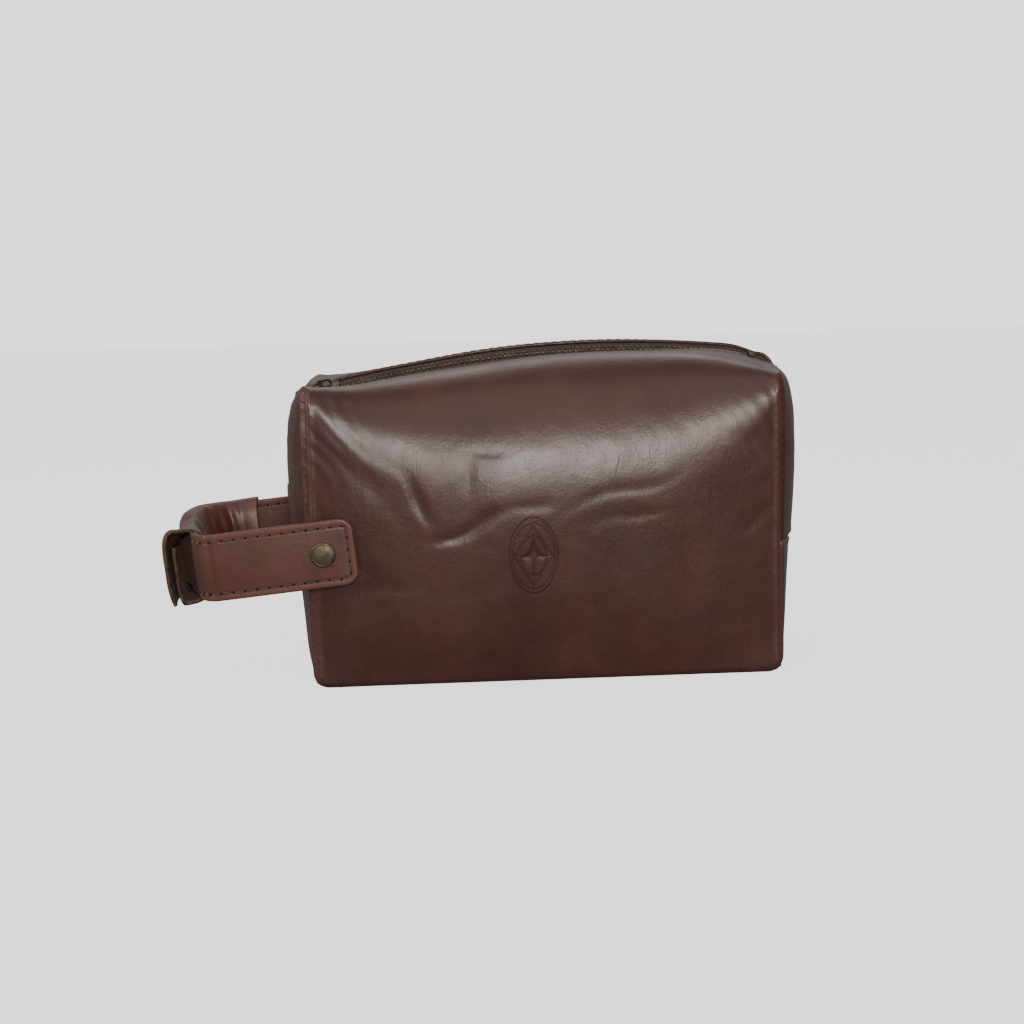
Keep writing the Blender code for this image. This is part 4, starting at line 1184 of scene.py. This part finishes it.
class Nodes:
    """A material's node tree, built by short calls."""

    def __init__(self, name):
        self.material = bpy.data.materials.new(name)
        self.material.use_nodes = True
        self.tree = self.material.node_tree
        self.shader = self.tree.nodes["Principled BSDF"]
        self.coordinates = self.tree.nodes.new("ShaderNodeTexCoord").outputs["Object"]

    def put(self, socket, value):
        """Links a socket to another one, or gives it a plain value."""
        if isinstance(value, bpy.types.NodeSocket):
            self.tree.links.new(value, socket)
        else:
            socket.default_value = value

    def set(self, name, value):
        self.put(self.shader.inputs[name], value)

    def node(self, kind, inputs=None, **settings):
        made = self.tree.nodes.new("ShaderNode" + kind)
        for key, value in settings.items():
            setattr(made, key, value)
        for key, value in (inputs or {}).items():
            self.put(made.inputs[key], value)
        return made

    def noise(self, scale, detail=4.0, rough=0.55, distortion=0.0, vector=None):
        inputs = {"Vector": vector or self.coordinates, "Scale": scale, "Detail": detail}
        inputs.update({"Roughness": rough, "Distortion": distortion})
        return self.node("TexNoise", inputs).outputs["Fac"]

    def cells(self, scale, feature="F1"):
        made = self.node("TexVoronoi", {"Vector": self.coordinates, "Scale": scale}, feature=feature)
        return made.outputs["Distance"]

    def stretched(self, scale, rotation=(0, 0, 0)):
        made = self.node("Mapping", {"Vector": self.coordinates, "Scale": scale, "Rotation": rotation})
        return made.outputs["Vector"]

    def attribute(self, name):
        return self.node("Attribute", attribute_name=name).outputs["Fac"]

    def ramp(self, value, low, high, to_low=0.0, to_high=1.0):
        inputs = {"Value": value, "From Min": low, "From Max": high, "To Min": to_low, "To Max": to_high}
        return self.node("MapRange", inputs).outputs["Result"]

    def maths(self, operation, first, second=0.0):
        made = self.node("Math", operation=operation)
        for socket, value in zip(made.inputs, (first, second)):
            self.put(socket, value)
        return made.outputs[0]

    def mix(self, share, first, second):
        made = self.node("Mix", data_type="RGBA")
        for number, value in ((0, share), (6, first), (7, second)):
            self.put(made.inputs[number], value)
        return made.outputs[2]

    def bump(self, height, distance, strength=1.0, normal=None):
        inputs = {"Height": height, "Distance": distance, "Strength": strength}
        if normal is not None:
            inputs["Normal"] = normal
        return self.node("Bump", inputs).outputs["Normal"]


def colour(red, green, blue):
    """An sRGB colour, 0 to 255, as linear RGBA."""
    linear = []
    for value in (red, green, blue):
        value = value / 255.0
        linear.append(value / 12.92 if value <= 0.04045 else ((value + 0.055) / 1.055) ** 2.4)
    return (*linear, 1.0)


EMBLEM_X, EMBLEM_Z = -7.0, 62.5
EMBLEM_HALF_WIDTH, EMBLEM_HALF_HEIGHT = 11.5, 18.5


def band(n, value, middle, half):
    """1 where value is within half of middle, with soft edges."""
    gap = n.maths("ABSOLUTE", n.maths("SUBTRACT", value, middle))
    inputs = {"Value": gap, "From Min": half * 0.55, "From Max": half * 1.45, "To Min": 1.0, "To Max": 0.0}
    return n.node("MapRange", inputs, clamp=True, interpolation_type="SMOOTHSTEP").outputs["Result"]


def emblem(n):
    """A plain pressed badge on the front: rings round a lozenge with a four-pointed star, no letters."""
    split = n.node("SeparateXYZ", {"Vector": n.coordinates})
    x = n.maths("ABSOLUTE", n.maths("SUBTRACT", split.outputs[0], EMBLEM_X / 1000))
    x = n.maths("DIVIDE", x, EMBLEM_HALF_WIDTH / 1000)
    z = n.maths("ABSOLUTE", n.maths("SUBTRACT", split.outputs[2], EMBLEM_Z / 1000))
    z = n.maths("DIVIDE", z, EMBLEM_HALF_HEIGHT / 1000)
    radius = n.maths("SQRT", n.maths("ADD", n.maths("MULTIPLY", x, x), n.maths("MULTIPLY", z, z)))
    lozenge = n.maths("ADD", x, z)
    star = n.maths("POWER", n.maths("ADD", n.maths("SQRT", x), n.maths("SQRT", z)), 2.0)
    marks = band(n, radius, 1.0, 0.035)
    for shape in (
        band(n, radius, 0.87, 0.022),
        band(n, lozenge, 0.80, 0.035),
        band(n, star, 0.0, 0.60),
        band(n, radius, 0.52, 0.03),
    ):
        marks = n.maths("MAXIMUM", marks, shape)
    front = n.ramp(split.outputs[1], -0.050, -0.053)
    return n.maths("MULTIPLY", marks, front)


def leather_material(name, base, dark, light, rough, coat, grain, badge=False):
    """Glazed leather: fine pores, faint scuffs, cloudy dye, and paler where the wear attribute is high."""
    n = Nodes(name)
    cloud = n.noise(26.0, 5.0, 0.6)
    speck = n.noise(900.0, 3.0, 0.6)
    tint = n.mix(n.ramp(cloud, 0.3, 0.7), dark, base)
    tint = n.mix(n.ramp(n.noise(48.0, 5.0, 0.65), 0.52, 0.85, 0.0, 0.35), tint, light)
    tint = n.mix(n.ramp(speck, 0.35, 0.75, 0.0, 0.3), tint, dark)
    tint = n.mix(n.maths("MULTIPLY", n.attribute("wear"), 0.42), tint, light)
    if badge:
        pressed = emblem(n)
        tint = n.mix(n.maths("MULTIPLY", pressed, 0.55), tint, dark)
    n.set("Base Color", tint)
    scuff = n.noise(7.0, 6.0, 0.7, 0.6, n.stretched((18.0, 60.0, 130.0), (0.2, 0.5, 0.3)))
    gloss = n.ramp(n.noise(34.0, 6.0, 0.6), 0.3, 0.75, rough - 0.06, rough + 0.1)
    gloss = n.maths("ADD", gloss, n.ramp(scuff, 0.55, 0.8, 0.0, 0.1))
    n.set("Roughness", gloss)
    n.set("Coat Weight", coat)
    n.set("Coat Roughness", 0.34)
    n.set("Specular IOR Level", 0.5)
    n.set("Sheen Weight", 0.06)
    n.set("Sheen Roughness", 0.5)
    pores = n.cells(1500.0 * grain)
    pebble = n.cells(620.0 * grain, "SMOOTH_F1")
    swirl = n.noise(210.0 * grain, 5.0, 0.6)
    normal = n.bump(swirl, 0.0003, 0.35)
    normal = n.bump(pebble, 0.00016, 0.30, normal)
    normal = n.bump(pores, 0.00006, 0.3, normal)
    slashes = n.noise(5.0, 4.0, 0.6, 0.8, n.stretched((34.0, 60.0, 9.0), (0.0, 0.65, 0.0)))
    normal = n.bump(n.ramp(slashes, 0.50, 0.62), 0.0003, 0.13, normal)
    if badge:
        normal = n.bump(n.maths("SUBTRACT", 1.0, pressed), 0.0007, 0.9, normal)
    n.set("Normal", normal)
    return n.material


def edge_material():
    n = Nodes("burnished_edge")
    layers = n.noise(420.0, 4.0, 0.6)
    n.set("Base Color", n.mix(n.ramp(layers, 0.35, 0.7), colour(44, 26, 22), colour(92, 58, 46)))
    n.set("Roughness", n.ramp(layers, 0.3, 0.7, 0.42, 0.62))
    n.set("Coat Weight", 0.15)
    n.set("Normal", n.bump(layers, 0.0002, 0.5))
    return n.material


def hole_material():
    # Near-black painted shade for the needle holes between stitches.
    n = Nodes("needle_hole")
    n.set("Base Color", n.mix(n.ramp(n.noise(900.0), 0.3, 0.7), colour(12, 7, 6), colour(26, 15, 13)))
    n.set("Roughness", n.ramp(n.noise(500.0), 0.3, 0.7, 0.8, 0.95))
    return n.material


def thread_material():
    """Waxed thread, its two strands twisted round each other."""
    n = Nodes("waxed_thread")
    twist = n.noise(1500.0, 3.0, 0.6)
    n.set("Base Color", n.mix(n.ramp(twist, 0.35, 0.7), colour(52, 27, 23), colour(94, 54, 45)))
    n.set("Roughness", n.ramp(twist, 0.3, 0.7, 0.5, 0.75))
    n.set("Sheen Weight", 0.3)
    n.set("Normal", n.bump(twist, 0.0002, 0.7))
    return n.material


def metal_material(name, bright, dull, rough):
    """Antique brass: bright and brown in patches of noise, with fine scratches."""
    n = Nodes(name)
    patina = n.noise(170.0, 6.0, 0.65)
    fine = n.noise(2400.0, 3.0, 0.6)
    scratch = n.noise(9.0, 5.0, 0.7, 0.3, n.stretched((60.0, 900.0, 500.0), (0.4, 0.2, 0.7)))
    tint = n.mix(n.ramp(patina, 0.35, 0.68), dull, bright)
    tint = n.mix(n.ramp(fine, 0.45, 0.8, 0.0, 0.5), tint, dull)
    n.set("Base Color", tint)
    n.set("Metallic", 1.0)
    shine = n.ramp(patina, 0.3, 0.7, rough + 0.12, rough - 0.06)
    n.set("Roughness", n.maths("ADD", shine, n.ramp(scratch, 0.6, 0.8, 0.0, 0.12)))
    n.set("Normal", n.bump(n.maths("ADD", patina, scratch), 0.00012, 0.35))
    return n.material


def weave_material(name, base, dark, pitch, twill):
    """Woven cloth: warp and weft ridges, offset row by row when it is a twill."""
    n = Nodes(name)
    split = n.node("SeparateXYZ", {"Vector": n.coordinates})
    x, y, z = split.outputs
    across = n.maths("ADD", x, n.maths("MULTIPLY", y, 0.31))
    down = n.maths("ADD", z, n.maths("MULTIPLY", y, 0.87))
    turn = 2 * math.pi / pitch
    warp = n.maths("ADD", across, n.maths("MULTIPLY", down, twill))
    weft = n.maths("SUBTRACT", down, n.maths("MULTIPLY", across, twill))
    warp, weft = (n.maths("SINE", n.maths("MULTIPLY", thread, turn)) for thread in (warp, weft))
    weave = n.maths("MULTIPLY", warp, weft)
    fuzz = n.noise(900.0, 3.0, 0.6)
    cloud = n.noise(40.0, 4.0, 0.6)
    tint = n.mix(n.ramp(weave, -0.9, 0.9), dark, base)
    tint = n.mix(n.ramp(fuzz, 0.4, 0.8, 0.0, 0.4), tint, dark)
    tint = n.mix(n.ramp(cloud, 0.4, 0.7, 0.0, 0.3), tint, base)
    n.set("Base Color", tint)
    n.set("Roughness", n.ramp(fuzz, 0.3, 0.7, 0.75, 0.95))
    n.set("Sheen Weight", 0.08)
    n.set("Sheen Roughness", 0.5)
    n.set("Specular IOR Level", 0.25)
    n.set("Normal", n.bump(n.maths("ADD", weave, fuzz), 0.00025, 0.6))
    return n.material


def make_materials():
    bag_dye = colour(76, 37, 32), colour(60, 28, 25), colour(100, 56, 47)
    strap_dye = colour(98, 54, 46), colour(78, 40, 34), colour(128, 78, 65)
    return {
        "leather": leather_material("bag_leather", *bag_dye, 0.37, 0.25, 1.0, badge=True),
        "strap": leather_material("strap_leather", *strap_dye, 0.42, 0.14, 0.8),
        "edge": edge_material(),
        "thread": thread_material(),
        # painted shade for the needle holes between stitches
        "hole": hole_material(),
        "tape": weave_material("zip_tape_weave", colour(88, 56, 47), colour(44, 27, 23), 0.0011, 1.0),
        "lining": weave_material("lining_weave", colour(138, 116, 92), colour(92, 74, 58), 0.0009, 0.0),
        "brass": metal_material("antique_brass", colour(122, 112, 94), colour(72, 62, 50), 0.42),
    }


# ---------------------------------------------------------------- floor, lights, camera


def make_stage():
    """A pale floor. It is bright to the camera alone, so that it hardly lights the bag."""
    bm = bmesh.new()
    bmesh.ops.create_grid(bm, x_segments=8, y_segments=8, size=6.0)
    mesh = bpy.data.meshes.new("floor")
    bm.to_mesh(mesh)
    bm.free()
    floor = bpy.data.objects.new("floor", mesh)
    bpy.context.scene.collection.objects.link(floor)
    n = Nodes("studio_floor")
    n.set("Base Color", colour(126, 126, 126))
    n.set("Roughness", n.ramp(n.noise(3.0), 0.3, 0.7, 0.9, 0.95))
    n.set("Specular IOR Level", 0.1)
    n.set("Emission Color", colour(255, 255, 255))
    seen = n.node("LightPath").outputs["Is Camera Ray"]
    n.set("Emission Strength", n.ramp(seen, 0.0, 1.0, 0.02, 1.70))
    mesh.materials.append(n.material)


LAMP_COLOUR = (1.0, 0.965, 0.90)
LAMP_AIM = (0.0, 0.0, 0.08)


def area_light(name, power, size, place):
    light = bpy.data.lights.new(name, "AREA")
    light.energy = power
    light.color = LAMP_COLOUR
    light.shape = "RECTANGLE"
    light.size, light.size_y = size
    obj = bpy.data.objects.new(name, light)
    bpy.context.scene.collection.objects.link(obj)
    obj.location = place
    obj.rotation_euler = (Vector(LAMP_AIM) - Vector(place)).to_track_quat("-Z", "Y").to_euler()


def make_lights():
    """A studio of five soft lamps, in a world that is bright to the camera alone."""
    world = bpy.data.worlds.new("studio")
    bpy.context.scene.world = world
    world.use_nodes = True
    tree = world.node_tree
    background = tree.nodes["Background"]
    background.inputs["Color"].default_value = (1.0, 1.0, 1.0, 1.0)
    ray = tree.nodes.new("ShaderNodeLightPath")
    level = tree.nodes.new("ShaderNodeMapRange")
    level.inputs["To Min"].default_value = 0.26
    level.inputs["To Max"].default_value = 1.90
    tree.links.new(ray.outputs["Is Camera Ray"], level.inputs["Value"])
    tree.links.new(level.outputs["Result"], background.inputs["Strength"])
    area_light("key", 8.5, (0.26, 0.34), (0.05, -1.25, 0.45))
    area_light("side", 1.1, (0.4, 0.30), (0.50, -1.15, 0.42))
    area_light("top", 3.2, (1.3, 0.9), (-0.25, -0.45, 1.10))
    area_light("back", 2.4, (1.2, 0.4), (0.0, 0.95, 1.0))
    area_light("left", 4.0, (0.22, 0.9), (-1.1, -0.45, 0.35))


CAMERA_DISTANCE = 0.700
CAMERA_AZIMUTH, CAMERA_ELEVATION, CAMERA_ROLL = map(math.radians, (-2.55, 8.31, -1.45))
CAMERA_AIM = (-0.0168, -0.054, 0.0837)
CAMERA_LENS = 51.5


def make_camera():
    azimuth, elevation = CAMERA_AZIMUTH, CAMERA_ELEVATION
    level = math.cos(elevation)
    forward = Vector((-math.sin(azimuth) * level, math.cos(azimuth) * level, -math.sin(elevation)))
    right = forward.cross(Vector((0, 0, 1))).normalized()
    up = right.cross(forward)
    turned_right = right * math.cos(CAMERA_ROLL) + up * math.sin(CAMERA_ROLL)
    turned_up = up * math.cos(CAMERA_ROLL) - right * math.sin(CAMERA_ROLL)
    data = bpy.data.cameras.new("camera")
    data.sensor_width = 36.0
    data.lens = CAMERA_LENS
    camera = bpy.data.objects.new("camera", data)
    bpy.context.scene.collection.objects.link(camera)
    turn = Matrix((turned_right, turned_up, -forward)).transposed()
    camera.matrix_world = Matrix.Translation(Vector(CAMERA_AIM) - forward * CAMERA_DISTANCE) @ turn.to_4x4()
    bpy.context.scene.camera = camera


make_camera()
make_stage()
make_lights()
MATERIALS = make_materials()
FRONT = make_leather(-1, MATERIALS)
BACK = make_leather(1, MATERIALS)
for outer_end in (-1, 1):
    make_end_lower(outer_end, MATERIALS)
    make_tab(outer_end, MATERIALS)
for half in (-1, 1):
    make_tape(FRONT, BACK, half, MATERIALS)
    make_teeth(half, MATERIALS)
make_zip_stitches(FRONT, BACK, MATERIALS)
make_strap_layer("facing", 1, MATERIALS)
make_strap_layer("backing", -1, MATERIALS)
make_strap_stitches(MATERIALS)
make_sleeve(MATERIALS)
make_hardware(MATERIALS)
make_pocket(MATERIALS)
